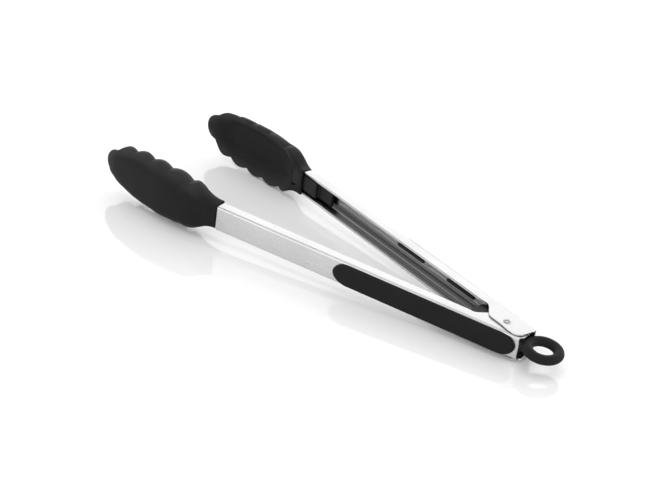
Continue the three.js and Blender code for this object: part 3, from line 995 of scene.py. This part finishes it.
    def build(self, bench: Bench) -> None:
        """Builds the arm and fits it.

        Args:
            bench: The bench that fits it.
        """
        place = bench.places.arms[self.side]
        skin = Skin(place)
        skin.loft([self.ring(x) for x in self.stations()], folded=True)
        piece = skin.object(self.side.piece("channel"))
        carve(piece, self.cutter(place))
        soften(piece, self.edge_rounding, 2, 50)
        hems = Skin(place)
        for turn in (1, -1):
            hems.loft(self.hem_rows(turn))
        hem = hems.object(self.side.piece("hem"))
        paint_grain(piece, place, self.web)
        paint_grain(hem, place, self.web)
        # The inner faces are marked for painted shade, a darker tone for the channel's shadowed
        # inside.
        paint_inside_shade(piece, self.is_inside, place)
        paint_inside_shade(hem, lambda point: False, place)
        with bpy.context.temp_override(active_object=piece, selected_editable_objects=[piece, hem]):
            bpy.ops.object.join()
        bench.fit(piece, BrushedSteel(), self.side.body, self.side.piece("arm"))


# ------------------------------------------------------------------ grips


@dataclass(frozen=True)
class Grip:
    """A soft pad on the outside of the web, over a stiff carrier with bosses in the slots."""

    side: Side
    arm: Channel
    start: float = -11.9
    end: float = 112.8
    height: float = 14.0
    end_reach: float = 11.0
    rise: float = 1.9
    crown: float = 0.25
    shoulder: float = 1.0
    foot: float = 0.08
    rim: float = 1.6
    carrier_rise: float = 0.6
    boss_depth: float = 1.5
    slack: float = 0.12

    def outline(self, inset: float, segments: int) -> list[Point]:
        """The grip's outline, inset all round."""
        start, end = self.start + inset, self.end - inset
        return oval_strip(start, end, self.height - 2 * inset, self.end_reach - inset, segments)

    def ring(self, inset: float, level: float) -> list[Spot]:
        """A ring of the pad, inset from its outline at a level above the web."""
        shape = self.outline(inset, 24)
        return [(x, self.arm.web + self.foot + level, z) for x, z in shape]

    def pad(self, place: Place) -> bpy.types.Object:
        """The soft pad: upright rim, round shoulder, slightly crowned top, hollow underneath.

        Args:
            place: The place it is built in.

        Returns:
            The finished piece.
        """
        skin = Skin(place)
        edge = self.rise - self.shoulder
        rows = [self.ring(self.rim, self.carrier_rise + self.slack), self.ring(self.rim, 0)]
        rows += [self.ring(0.12, 0), self.ring(0, 0.12), self.ring(0, edge * 0.5)]
        for a in steps(0, 90, 6):
            turn = math.radians(a)
            inset = self.shoulder * (1 - math.cos(turn))
            rows.append(self.ring(inset, edge + self.shoulder * math.sin(turn)))
        half = self.height / 2
        for share in (0.35, 0.6, 0.85, 0.97):
            lift = self.crown * (1 - (1 - share) ** 2)
            rows.append(self.ring(self.shoulder + (half - self.shoulder) * share, self.rise + lift))
        skin.loft(rows)
        return skin.object(self.side.piece("grip"))

    def carrier(self, place: Place) -> bpy.types.Object:
        """The stiff backing and its two bosses.

        Args:
            place: The place it is built in.

        Returns:
            The finished piece.
        """
        skin = Skin(place)
        backing = self.outline(self.rim + self.slack, 16)
        low = self.arm.web + self.foot
        skin.upright_prism(backing, low, low + self.carrier_rise)
        for start, end in self.arm.slots:
            height = self.arm.slot_height - 2 * self.slack
            boss = raised(stadium(start + self.slack, end - self.slack, height), self.arm.slot_level)
            skin.upright_prism(boss, self.arm.web - self.boss_depth, low - 0.02)
        piece = skin.object(self.side.piece("grip_backing"))
        soften(piece, 0.18, 2)
        return piece

    def build(self, bench: Bench) -> None:
        """Builds both pieces and fits them.

        Args:
            bench: The bench that fits them.
        """
        place = bench.places.arms[self.side]
        body = self.side.body
        bench.fit(self.pad(place), SoftRubber(), body, self.side.piece("grip_pad"))
        bench.fit(self.carrier(place), HardNylon(), body, self.side.piece("grip_carrier"))


# ------------------------------------------------------------------ heads


@dataclass(frozen=True)
class Head:
    """A scalloped soft head over a stiff core whose tang sits in the channel.

    Stations along the head are measured from the collar's end. The outer body is a smooth swell,
    and the scalloped edge curls inwards round it like a shell's.
    """

    side: Side
    arm: Channel
    length: float = 96.5
    throat: Line = Line((
        (0, 8.75), (4, 8.8), (8, 9.6), (12, 11.4), (15.5, 13.8), (18.5, 15.2), (21, 15.3),
        (23.6, 14.4),
    ))
    notches: tuple[Station, ...] = (
        (23.6, 14.4), (41.0, 16.1), (56.1, 15.9), (71.6, 14.6), (88.3, 8.4),
    )
    lobes: tuple[float, ...] = (2.1, 1.9, 2.2, 3.0)
    lobe_power: float = 0.85
    tip_power: float = 2.2
    body: Line = Line((
        (0, 8.75), (4, 8.95), (8, 10.2), (12, 12.6), (18, 16.0), (25, 17.9), (33, 19.1),
        (48, 19.5), (60, 19.3), (72, 18.2), (80, 16.6), (88, 12.8), (93, 8.2), (96.5, 1.4),
    ))
    rim: Line = Line((
        (0, 1.3), (12.4, 1.3), (23.4, 2.9), (41.4, 2.2), (56.4, 0.4), (71.4, -1.9),
        (87.4, -4.6), (97.9, -6.2),
    ))
    crown: Line = Line((
        (0, 8.9), (6, 10.3), (12.4, 11.2), (23.4, 11.0), (41.4, 10.1), (56.4, 8.3), (71.4, 6.6),
        (87.4, 4.5), (96.5, 1.3),
    ))
    box_squareness: float = 10.0
    dish_squareness: float = 3.4
    box_end: float = 13.0
    dish_start: float = 28.0
    swell_power: float = 0.75
    curl: float = 0.055
    curl_width: float = 4.2
    curl_span: tuple[float, float, float, float] = (10.0, 28.0, 76.0, 92.0)
    edge_bulge: float = 0.2
    palm: float = 3.0
    palm_wall: Point = (4.2, 1.8)
    ridge: float = 0.3
    ridge_width: float = 1.8
    # Band round the notch line that gets the painted highlight.
    lip_highlight_band: Point = (4.5, 1.5)
    lip: float = 1.3
    lip_width: float = 3.2
    tang_length: float = 27.1
    tang_deep_length: float = 13.6
    tang_half_height: float = 5.5
    tang_top: float = 8.05
    tang_thin: float = 2.6
    mouth_gap: float = 0.12
    mouth_slack: float = 0.08
    mouth_lip: float = 0.1
    rows: int = 170
    half_columns: int = 18

    def half_width(self, x: float) -> float:
        """Half-width of the scalloped edge: round lobes between notches, and a round tip.

        Args:
            x: Millimetres along the head from the collar.

        Returns:
            The half-width.
        """
        if x < self.notches[0][0]:
            return self.throat(x)
        if x > self.notches[-1][0]:
            start, width = self.notches[-1]
            t = min((x - start) / (self.length - start), 1)
            return max(width * (1 - t**self.tip_power) ** 0.5, 0.05)
        i = 0
        while x > self.notches[i + 1][0]:
            i += 1
        (x0, w0), (x1, w1) = self.notches[i], self.notches[i + 1]
        t = (x - x0) / (x1 - x0)
        return w0 + (w1 - w0) * t + self.lobes[i] * math.sin(math.pi * t) ** self.lobe_power

    def notch_line(self, x: float) -> float:
        """Half-width of the smooth line through the notches."""
        return Line(((0, 7.6), (12, 10.6), *self.notches, (self.length, 1.0)))(x)

    def squareness(self, x: float) -> float:
        """The section's power: nearly a box at the collar, an oval dish further on."""
        dish = smoothstep(self.box_end, self.dish_start, x)
        return self.box_squareness + (self.dish_squareness - self.box_squareness) * dish

    def base(self, x: float, z: float) -> float:
        """Height of the shell's line, which curls inwards beside the scalloped edge.

        Args:
            x: Millimetres along the head from the collar.
            z: Millimetres across it from the middle.

        Returns:
            The line's height.
        """
        past = max(abs(z) - self.notch_line(x) + self.curl_width, 0)
        start, full, fading, end = self.curl_span
        fade = smoothstep(start, full, x) * (1 - smoothstep(fading, end, x))
        return self.rim(x) - self.curl * fade * past * past

    def outside(self, x: float, z: float) -> float:
        """Height of the outer face at z.

        Args:
            x: Millimetres along the head from the collar.
            z: Millimetres across it from the middle.

        Returns:
            The face's height.
        """
        w = min(abs(z) / self.body(x), 1)
        share = (1 - w ** self.squareness(x)) ** self.swell_power
        return self.base(x, z) + self.lip + (self.crown(x) - self.lip) * share

    def inside(self, x: float, z: float) -> float:
        """Height of the inner face: a flared lip round a recess with a faint middle ridge.

        Args:
            x: Millimetres along the head from the collar.
            z: Millimetres across it from the middle.

        Returns:
            The face's height.
        """
        edge = self.notch_line(x) - self.lip_width
        fade = smoothstep(1.5, 9, x)
        fade *= 1 - smoothstep(self.length - 24, self.length - 7, x)
        near, far = self.palm_wall
        depth = self.palm * fade * (1 - smoothstep(edge - near, edge + far, abs(z)))
        ridge = self.ridge * fade * math.exp(-((z / self.ridge_width) ** 2))
        return self.base(x, z) + depth - ridge

    def ring(self, x: float) -> list[Spot]:
        """One ring of the cover, over the outside and back along the inside.

        Args:
            x: Millimetres along the head from the collar.

        Returns:
            The points of the ring.
        """
        half = self.half_width(x)
        turns = [i / self.half_columns for i in range(-self.half_columns, self.half_columns + 1)]
        across = [math.sin(t * math.pi / 2) * half for t in turns]
        along = self.arm.length + x
        over = [(along, self.outside(x, z), z) for z in across]
        under = [
            (along, min(self.inside(x, z), self.outside(x, z) - 0.6), z) for z in reversed(across)
        ]
        middle = (self.outside(x, half) + self.inside(x, half)) / 2
        side = half + self.edge_bulge * smoothstep(12, 24, x)
        return [*over, (along, middle, side), *under, (along, middle, -side)]

    def cover(self, place: Place) -> bpy.types.Object:
        """The soft cover, open at the collar for the steel neck.

        Args:
            place: The place it is built in.

        Returns:
            The finished piece.
        """
        skin = Skin(place)
        room = self.length - self.mouth_gap
        shares = steps(0, 1, self.rows)
        skin.loft([self.ring(self.mouth_gap + room * self.spread(t)) for t in shares])
        piece = skin.object(self.side.piece("head"))
        mouth = Skin(place)
        arm = self.arm
        slack = self.mouth_slack
        neck_half = arm.half_height(arm.length + 1) + slack
        mouth.block(
            (arm.length - 2, arm.length + arm.neck_length + 0.3),
            (arm.flange_edge - self.mouth_lip, arm.web - arm.neck_step + slack),
            (-neck_half, neck_half),
        )
        carve(piece, mouth)
        # The lips' painted highlight, lighter where the lip faces the light.
        lip_highlight = piece.data.attributes.new(LIP_HIGHLIGHT_MASK, "FLOAT", "POINT")
        for vertex in piece.data.vertices:
            lip_highlight.data[vertex.index].value = self.lip_highlight_share(place.inverse(vertex.co))
        return piece

    def lip_highlight_share(self, point: Vector) -> float:
        """How much painted highlight the rubber has at a point: most along the scalloped lip, where
        it faces the light.

        Args:
            point: A point of the place.

        Returns:
            0 where there is none to 1 where the painted highlight is strongest.
        """
        x = point.x - self.arm.length
        edge = self.notch_line(x)
        near, far = self.lip_highlight_band
        return smoothstep(edge - near, edge + far, abs(point.z)) * smoothstep(8, 22, x)

    @staticmethod
    def spread(t: float) -> float:
        """Spaces the stations more closely towards the tip."""
        return 1 - (1 - t) ** 1.35

    def core(self, place: Place) -> bpy.types.Object:
        """The core's stepped tang and neck; its blade, closed inside the cover, isn't made.

        Args:
            place: The place it is built in.

        Returns:
            The finished piece.
        """
        skin = Skin(place)
        arm = self.arm
        low = arm.flange_edge + 0.2
        deep = arm.length - self.tang_deep_length
        thin = arm.length - self.tang_length
        end = arm.length + arm.neck_length
        profile = [
            (thin, self.tang_top),
            (thin, self.tang_top - self.tang_thin),
            (deep, self.tang_top - self.tang_thin),
            (deep, low),
            (end, low),
            (end, self.tang_top),
        ]
        skin.prism(profile, -self.tang_half_height, self.tang_half_height)
        piece = skin.object(self.side.piece("head_tang"))
        soften(piece, 1.1, 4)
        return piece

    def build(self, bench: Bench) -> None:
        """Builds the head's pieces and fits them.

        Args:
            bench: The bench that fits them.
        """
        place = bench.places.arms[self.side]
        body = self.side.body
        bench.fit(self.cover(place), SoftRubber(), body, self.side.piece("head_cover"))
        bench.fit(self.core(place), HardNylon(), body, self.side.piece("head_core"))


# ------------------------------------------------------------------ hinge


@dataclass(frozen=True)
class Hinge:
    """The rivet, its bush and the torsion spring round them."""

    pin_radius: float = 1.5
    ear_outside: float = 8.7
    ear_inside: float = 6.8
    head_radius: float = 2.35
    dome: float = 1.15
    foot_radius: float = 2.8
    foot: float = 1.3
    foot_edges: Point = (0.25, 0.2)
    head_edge: float = 0.12
    bush_radius: float = 3.0
    bush_edge: float = 0.2
    slack: float = 0.15
    wire: float = 1.2
    coil_radius: float = 4.4
    coil_turns: int = 3
    coil_room: float = 6.8
    leg: float = 29.0
    leg_gap: float = 0.3
    web_inside: float = 9.1
    steps_per_turn: int = 48
    steps_per_leg: int = 10

    def rivet(self, place: Place) -> bpy.types.Object:
        """Domed head above the ears, plain shank, flat closed foot below.

        Args:
            place: The place it is built in.

        Returns:
            The finished piece.
        """
        top = self.ear_outside + 0.04
        low = -self.ear_outside - self.foot
        wide, head_edge = self.foot_radius, self.head_edge
        under, over = self.foot_edges
        profile = [(r, low) for r in (0, 0.9, 1.1, wide - under)]
        profile += [(wide, low + under), (wide, -top - over), (wide - over, -top)]
        profile += [(self.pin_radius, -top), (self.pin_radius, top)]
        profile += [(self.head_radius - head_edge, top), (self.head_radius, top + head_edge)]
        for a in steps(8, 82, 9):
            turn = math.radians(a)
            rise = top + head_edge + (self.dome - head_edge) * math.sin(turn)
            profile.append((self.head_radius * math.cos(turn), rise))
        profile.append((0, top + self.dome))
        skin = Skin(place)
        skin.lathe(profile)
        return skin.object("hinge_rivet")

    def bush(self, place: Place) -> bpy.types.Object:
        """The spacer sleeve between the inner ears.

        Args:
            place: The place it is built in.

        Returns:
            The finished piece.
        """
        inner, outer = self.pin_radius + self.slack, self.bush_radius
        half, edge = self.ear_inside - self.slack, self.bush_edge
        skin = Skin(place)
        turns = [2 * math.pi * i / 48 for i in range(48)]
        rows = []
        for r, z in (
            (inner, -half + edge), (inner + edge, -half), (outer - edge, -half),
            (outer, -half + edge), (outer, half - edge), (outer - edge, half),
            (inner + edge, half), (inner, half - edge),
        ):
            rows.append(skin.ring([(r * math.cos(a), r * math.sin(a), z) for a in turns]))
        skin.wrap(rows)
        return skin.object("hinge_bush")

    def wire_path(self) -> list[Spot]:
        """The wire's centre line: along the left web, round the coil, out along the right web.

        Returns:
            Points of the place.
        """
        web = self.web_inside - self.wire / 2 - self.leg_gap
        reach = math.hypot(self.leg, web)
        leg = math.sqrt(reach**2 - self.coil_radius**2)
        bearing = OPEN_HALF_ANGLE + math.atan2(web, self.leg)
        contact = math.acos(self.coil_radius / reach) - (math.pi / 2 - bearing)
        sweep = (2 * self.coil_turns + 1) * math.pi - 2 * contact
        coil = sweep * self.coil_radius
        alongs = steps(-leg, 0, self.steps_per_leg)[:-1]
        alongs += steps(0, coil, self.steps_per_turn * self.coil_turns)
        alongs += steps(coil, coil + leg, self.steps_per_leg)[1:]
        path = []
        for along in alongs:
            turned = min(max(along / self.coil_radius, 0), sweep)
            beyond = along - turned * self.coil_radius
            angle = contact + turned - math.pi / 2
            rise = (turned / sweep - 0.5) * self.coil_room
            x = self.coil_radius * math.cos(angle) - beyond * math.sin(angle)
            y = self.coil_radius * math.sin(angle) + beyond * math.cos(angle)
            path.append((x, y, rise))
        return path

    def spring(self, place: Place) -> bpy.types.Object:
        """The torsion spring as a round wire.

        Args:
            place: The place it is built in.

        Returns:
            The finished piece.
        """
        data = bpy.data.curves.new("torsion_wire_line", "CURVE")
        data.dimensions = "3D"
        data.bevel_depth = self.wire / 2 * MM
        data.bevel_resolution = 4
        data.use_fill_caps = True
        path = self.wire_path()
        line = data.splines.new("POLY")
        line.points.add(len(path) - 1)
        for point, at in zip(line.points, path):
            point.co = (*place.at(*at), 1)
        curve = bpy.data.objects.new("torsion_wire_line", data)
        bpy.context.scene.collection.objects.link(curve)
        graph = bpy.context.evaluated_depsgraph_get()
        mesh = bpy.data.meshes.new_from_object(curve.evaluated_get(graph))
        bpy.data.objects.remove(curve)
        mesh.shade_smooth()
        piece = bpy.data.objects.new("torsion_wire", mesh)
        bpy.context.scene.collection.objects.link(piece)
        return piece

    def build(self, bench: Bench) -> None:
        """Builds the hinge's pieces and fits the rivet and bush; the spring's wire runs from arm to
        arm on no body.

        Args:
            bench: The bench that fits them.
        """
        place = bench.places.hinge
        bench.fit(self.rivet(place), TurnedSteel(), Side.LEFT.body, "pivot_rivet")
        bench.fit(self.bush(place), HardNylon(), "bush", "pivot_bush")
        spring = self.spring(place)
        bench.wardrobe.dress(spring, DrawnWire())
        outer = self.coil_radius + self.wire
        place.at(0, -outer, 0)
        place.at(0, outer, 0)
        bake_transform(spring)
        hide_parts("torsion_spring")
        LOG.info("%s: bends between the arms", spring.name)


# ------------------------------------------------------------------ lock


@dataclass(frozen=True)
class Lock:
    """The slide between the ears, its steel plate and the soft ring that pulls it."""

    travel: float = 8.0
    half_width: float = 5.6
    wing: float = 8.0
    wing_start: float = 9.0
    wing_full: float = 12.0
    wing_corner: float = 3.0
    inner_end: float = 23.5
    outer_end: float = 12.6
    half_height: float = 6.4
    plate_wall: float = 2.1
    solid_end: float = 5.0
    bush_radius: float = 3.0
    gap: float = 0.15
    steel_half_width: float = 3.4
    steel_level: float = 2.0
    steel_thickness: float = 1.0
    steel_start: float = 9.2
    steel_inset: float = 2.0
    ring_centre: float = 27.8
    ring_level: float = 2.9
    ring_radius: float = 9.25
    ring_section: float = 3.3
    ring_flatness: float = 0.88
    droop: float = 4.5
    ring_steps: int = 120
    section_steps: int = 32

    @property
    def steel_end(self) -> float:
        """Where the plate ends inside the ring."""
        return self.ring_centre - self.ring_radius + self.steel_inset

    def slide(self, place: Place) -> bpy.types.Object:
        """The black slide: two slotted plates joined at the outer end.

        Args:
            place: The place it is built in.

        Returns:
            The finished piece.
        """
        w, wing, end, round_off = self.half_width, self.wing, self.outer_end, self.wing_corner
        centre = round_off - self.inner_end
        outline = [
            (end, -w), (end, w), (-self.wing_start, w), (-self.wing_full, wing),
            *arc((centre, wing - round_off), round_off, 90, 180, 6),
            *arc((centre, round_off - wing), round_off, 180, 270, 6),
            (-self.wing_full, -wing), (-self.wing_start, -w),
        ]
        h = self.half_height
        skin = Skin(place)
        skin.prism(outline, -h, h)
        piece = skin.object("lock_slider")
        tool = Skin(place)
        room = h - self.plate_wall
        tool.block((-40, end - self.solid_end), (-20, 20), (-room, room))
        slot = 2 * (self.bush_radius + self.gap)
        tool.prism(stadium(-self.travel - slot / 2 - self.gap, slot / 2, slot), -h - 1, h + 1)
        carve(piece, tool)
        pocket = Skin(place)
        self.steel_block(pocket, self.gap)
        carve(piece, pocket)
        soften(piece, 0.3, 2)
        return piece

    def steel_block(self, skin: Skin, grow: float) -> None:
        """Adds the plate's block to a mesh, grown on every side.

        Args:
            skin: The mesh.
            grow: How far each side moves out.
        """
        half = self.steel_half_width + grow
        top = self.steel_level + self.steel_thickness + grow
        skin.block(
            (self.steel_start - grow, self.steel_end + grow),
            (-half, half),
            (self.steel_level - grow, top),
        )

    def steel(self, place: Place) -> bpy.types.Object:
        """The bright steel plate.

        Args:
            place: The place it is built in.

        Returns:
            The finished piece.
        """
        skin = Skin(place)
        self.steel_block(skin, 0)
        piece = skin.object("lock_strike")
        soften(piece, 0.3, 2)
        return piece

    def ring(self, place: Place) -> bpy.types.Object:
        """The soft ring, slotted for the plate.

        Args:
            place: The place it is built in.

        Returns:
            The finished piece.
        """
        skin = Skin(place)
        tilt = math.radians(self.droop)
        rows = []
        for a in steps(0, 2 * math.pi, self.ring_steps)[:-1]:
            points = []
            for b in steps(0, 2 * math.pi, self.section_steps)[:-1]:
                reach = self.ring_radius + self.ring_section * math.cos(b)
                x = reach * math.cos(a)
                z = self.ring_section * self.ring_flatness * math.sin(b)
                points.append((
                    self.ring_centre + x * math.cos(tilt) + z * math.sin(tilt),
                    reach * math.sin(a),
                    self.ring_level - x * math.sin(tilt) + z * math.cos(tilt),
                ))
            rows.append(skin.ring(points))
        skin.wrap(rows)
        piece = skin.object("pull_loop")
        slit = Skin(place)
        self.steel_block(slit, self.gap / 2)
        carve(piece, slit)
        return piece

    def build(self, bench: Bench) -> None:
        """Builds the lock's pieces and fits them.

        Args:
            bench: The bench that fits them.
        """
        place = bench.places.hinge
        bench.fit(self.slide(place), HardNylon(), "lock", "lock_slide")
        bench.fit(self.steel(place), BrightSteel(), "lock", "lock_plate")
        bench.fit(self.ring(place), SoftRubber(), "lock", "pull_ring")


# ------------------------------------------------------------------ stage


@dataclass(frozen=True)
class Studio:
    """The pale floor, the soft light and the camera."""

    azimuth: float = 38.807
    elevation: float = 29.275
    roll: float = 8.1
    distance: float = 1164.7
    right: float = -101.4
    up: float = 50.1
    lens: float = 109.4
    floor_size: float = 12.0
    sun_strength: float = 0.95
    sun_angle: float = 60.0
    horizon_strength: float = 1.7
    zenith_strength: float = 0.2
    zenith_span: Point = (0.6, 0.8)

    def camera(self, place: Place) -> None:
        """Sets the camera round the hinge pin.

        Args:
            place: The hinge's place.
        """
        a, e, r = (math.radians(v) for v in (self.azimuth, self.elevation, self.roll))
        back = Vector((math.sin(a) * math.cos(e), -math.cos(a) * math.cos(e), math.sin(e)))
        level = Vector((math.cos(a), math.sin(a), 0))
        rise = back.cross(level)
        right = level * math.cos(r) + rise * math.sin(r)
        up = rise * math.cos(r) - level * math.sin(r)
        axes = [place.x * v.x + place.y * v.y + place.z * v.z for v in (right, up, back)]
        spot = right * self.right + up * self.up + back * self.distance
        data = bpy.data.cameras.new("camera")
        data.lens = self.lens
        data.clip_start = 0.05
        camera = bpy.data.objects.new("camera", data)
        bpy.context.scene.collection.objects.link(camera)
        turn = Matrix(axes).transposed().to_4x4()
        camera.matrix_world = Matrix.Translation(place.at(*spot)) @ turn
        bpy.context.scene.camera = camera

    def floor(self) -> None:
        """Lays the pale floor under the tongs."""
        skin = Skin(Place(Vector(), Vector((1, 0, 0)), Vector((0, 1, 0)), Vector((0, 0, 1))))
        half = self.floor_size / 2 / MM
        around = ((-half, -half), (half, -half), (half, half), (-half, half))
        skin.mesh.faces.new(skin.ring([(x, y, 0) for x, y in around]))
        floor = skin.object("floor")
        floor.data.materials.append(PaleFloor().material())

    def lamp(self) -> None:
        """Hangs one broad soft light straight over the tongs."""
        data = bpy.data.lights.new("overhead", "SUN")
        data.energy = self.sun_strength
        data.angle = math.radians(self.sun_angle)
        lamp = bpy.data.objects.new("overhead", data)
        lamp.location = (0, 0, 1)
        bpy.context.scene.collection.objects.link(lamp)

    def room(self) -> None:
        """Surrounds the tongs with white walls under a dimmer ceiling."""
        world = bpy.data.worlds.new("room")
        world.use_nodes = True
        nodes, links = world.node_tree.nodes, world.node_tree.links
        spot = nodes.new("ShaderNodeTexCoord")
        split = nodes.new("ShaderNodeSeparateXYZ")
        height = nodes.new("ShaderNodeMapRange")
        height.interpolation_type = "SMOOTHSTEP"
        spans = (*self.zenith_span, self.horizon_strength, self.zenith_strength)
        for name, value in zip(("From Min", "From Max", "To Min", "To Max"), spans):
            height.inputs[name].default_value = value
        links.new(spot.outputs["Generated"], split.inputs["Vector"])
        links.new(split.outputs["Z"], height.inputs["Value"])
        links.new(height.outputs["Result"], nodes["Background"].inputs["Strength"])
        nodes["Background"].inputs["Color"].default_value = (1, 1, 1, 1)
        bpy.context.scene.world = world
        bpy.context.scene.view_settings.view_transform = "Standard"

    def build(self, places: Places) -> None:
        """Sets up everything that isn't part of the tongs.

        Args:
            places: The frame's places.
        """
        self.camera(places.hinge)
        self.floor()
        self.lamp()
        self.room()


# ------------------------------------------------------------------ the tongs


@dataclass
class Tongs:
    """The whole tool, as its sub-assemblies in building order."""

    parts: list[Channel | Grip | Head | Hinge | Lock] = field(default_factory=list)

    def __post_init__(self) -> None:
        """Lists the sub-assemblies."""
        for side in Side:
            arm = Channel(side)
            self.parts += [arm, Grip(side, arm), Head(side, arm)]
        self.parts += [Hinge(), Lock()]

    def build(self, bench: Bench) -> None:
        """Builds every sub-assembly."""
        for part in self.parts:
            part.build(bench)

    @staticmethod
    def dress_hidden(bench: Bench, nodes: dict[str, bpy.types.Object]) -> None:
        """Gives the small CAD nodes that stay their finishes.

        Args:
            bench: The bench that holds the finishes.
            nodes: The frame's CAD nodes by name.
        """
        finishes: dict[str, Finish] = {
            "ring_pin": BrightSteel(),
            "ring_core": HardNylon(),
            "left_head_pin": BrightSteel(),
            "right_head_pin": BrightSteel(),
        }
        for name, finish in finishes.items():
            bench.wardrobe.dress(nodes[name], finish)


def main() -> None:
    """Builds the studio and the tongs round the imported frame."""
    logging.basicConfig(level=logging.INFO, format="%(name)s: %(message)s")
    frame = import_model()
    places = Places.of(frame["joints"])
    Studio().build(places)
    bench = Bench(places)
    tongs = Tongs()
    tongs.build(bench)
    tongs.dress_hidden(bench, frame["nodes"])


if __name__ == "__main__":
    main()
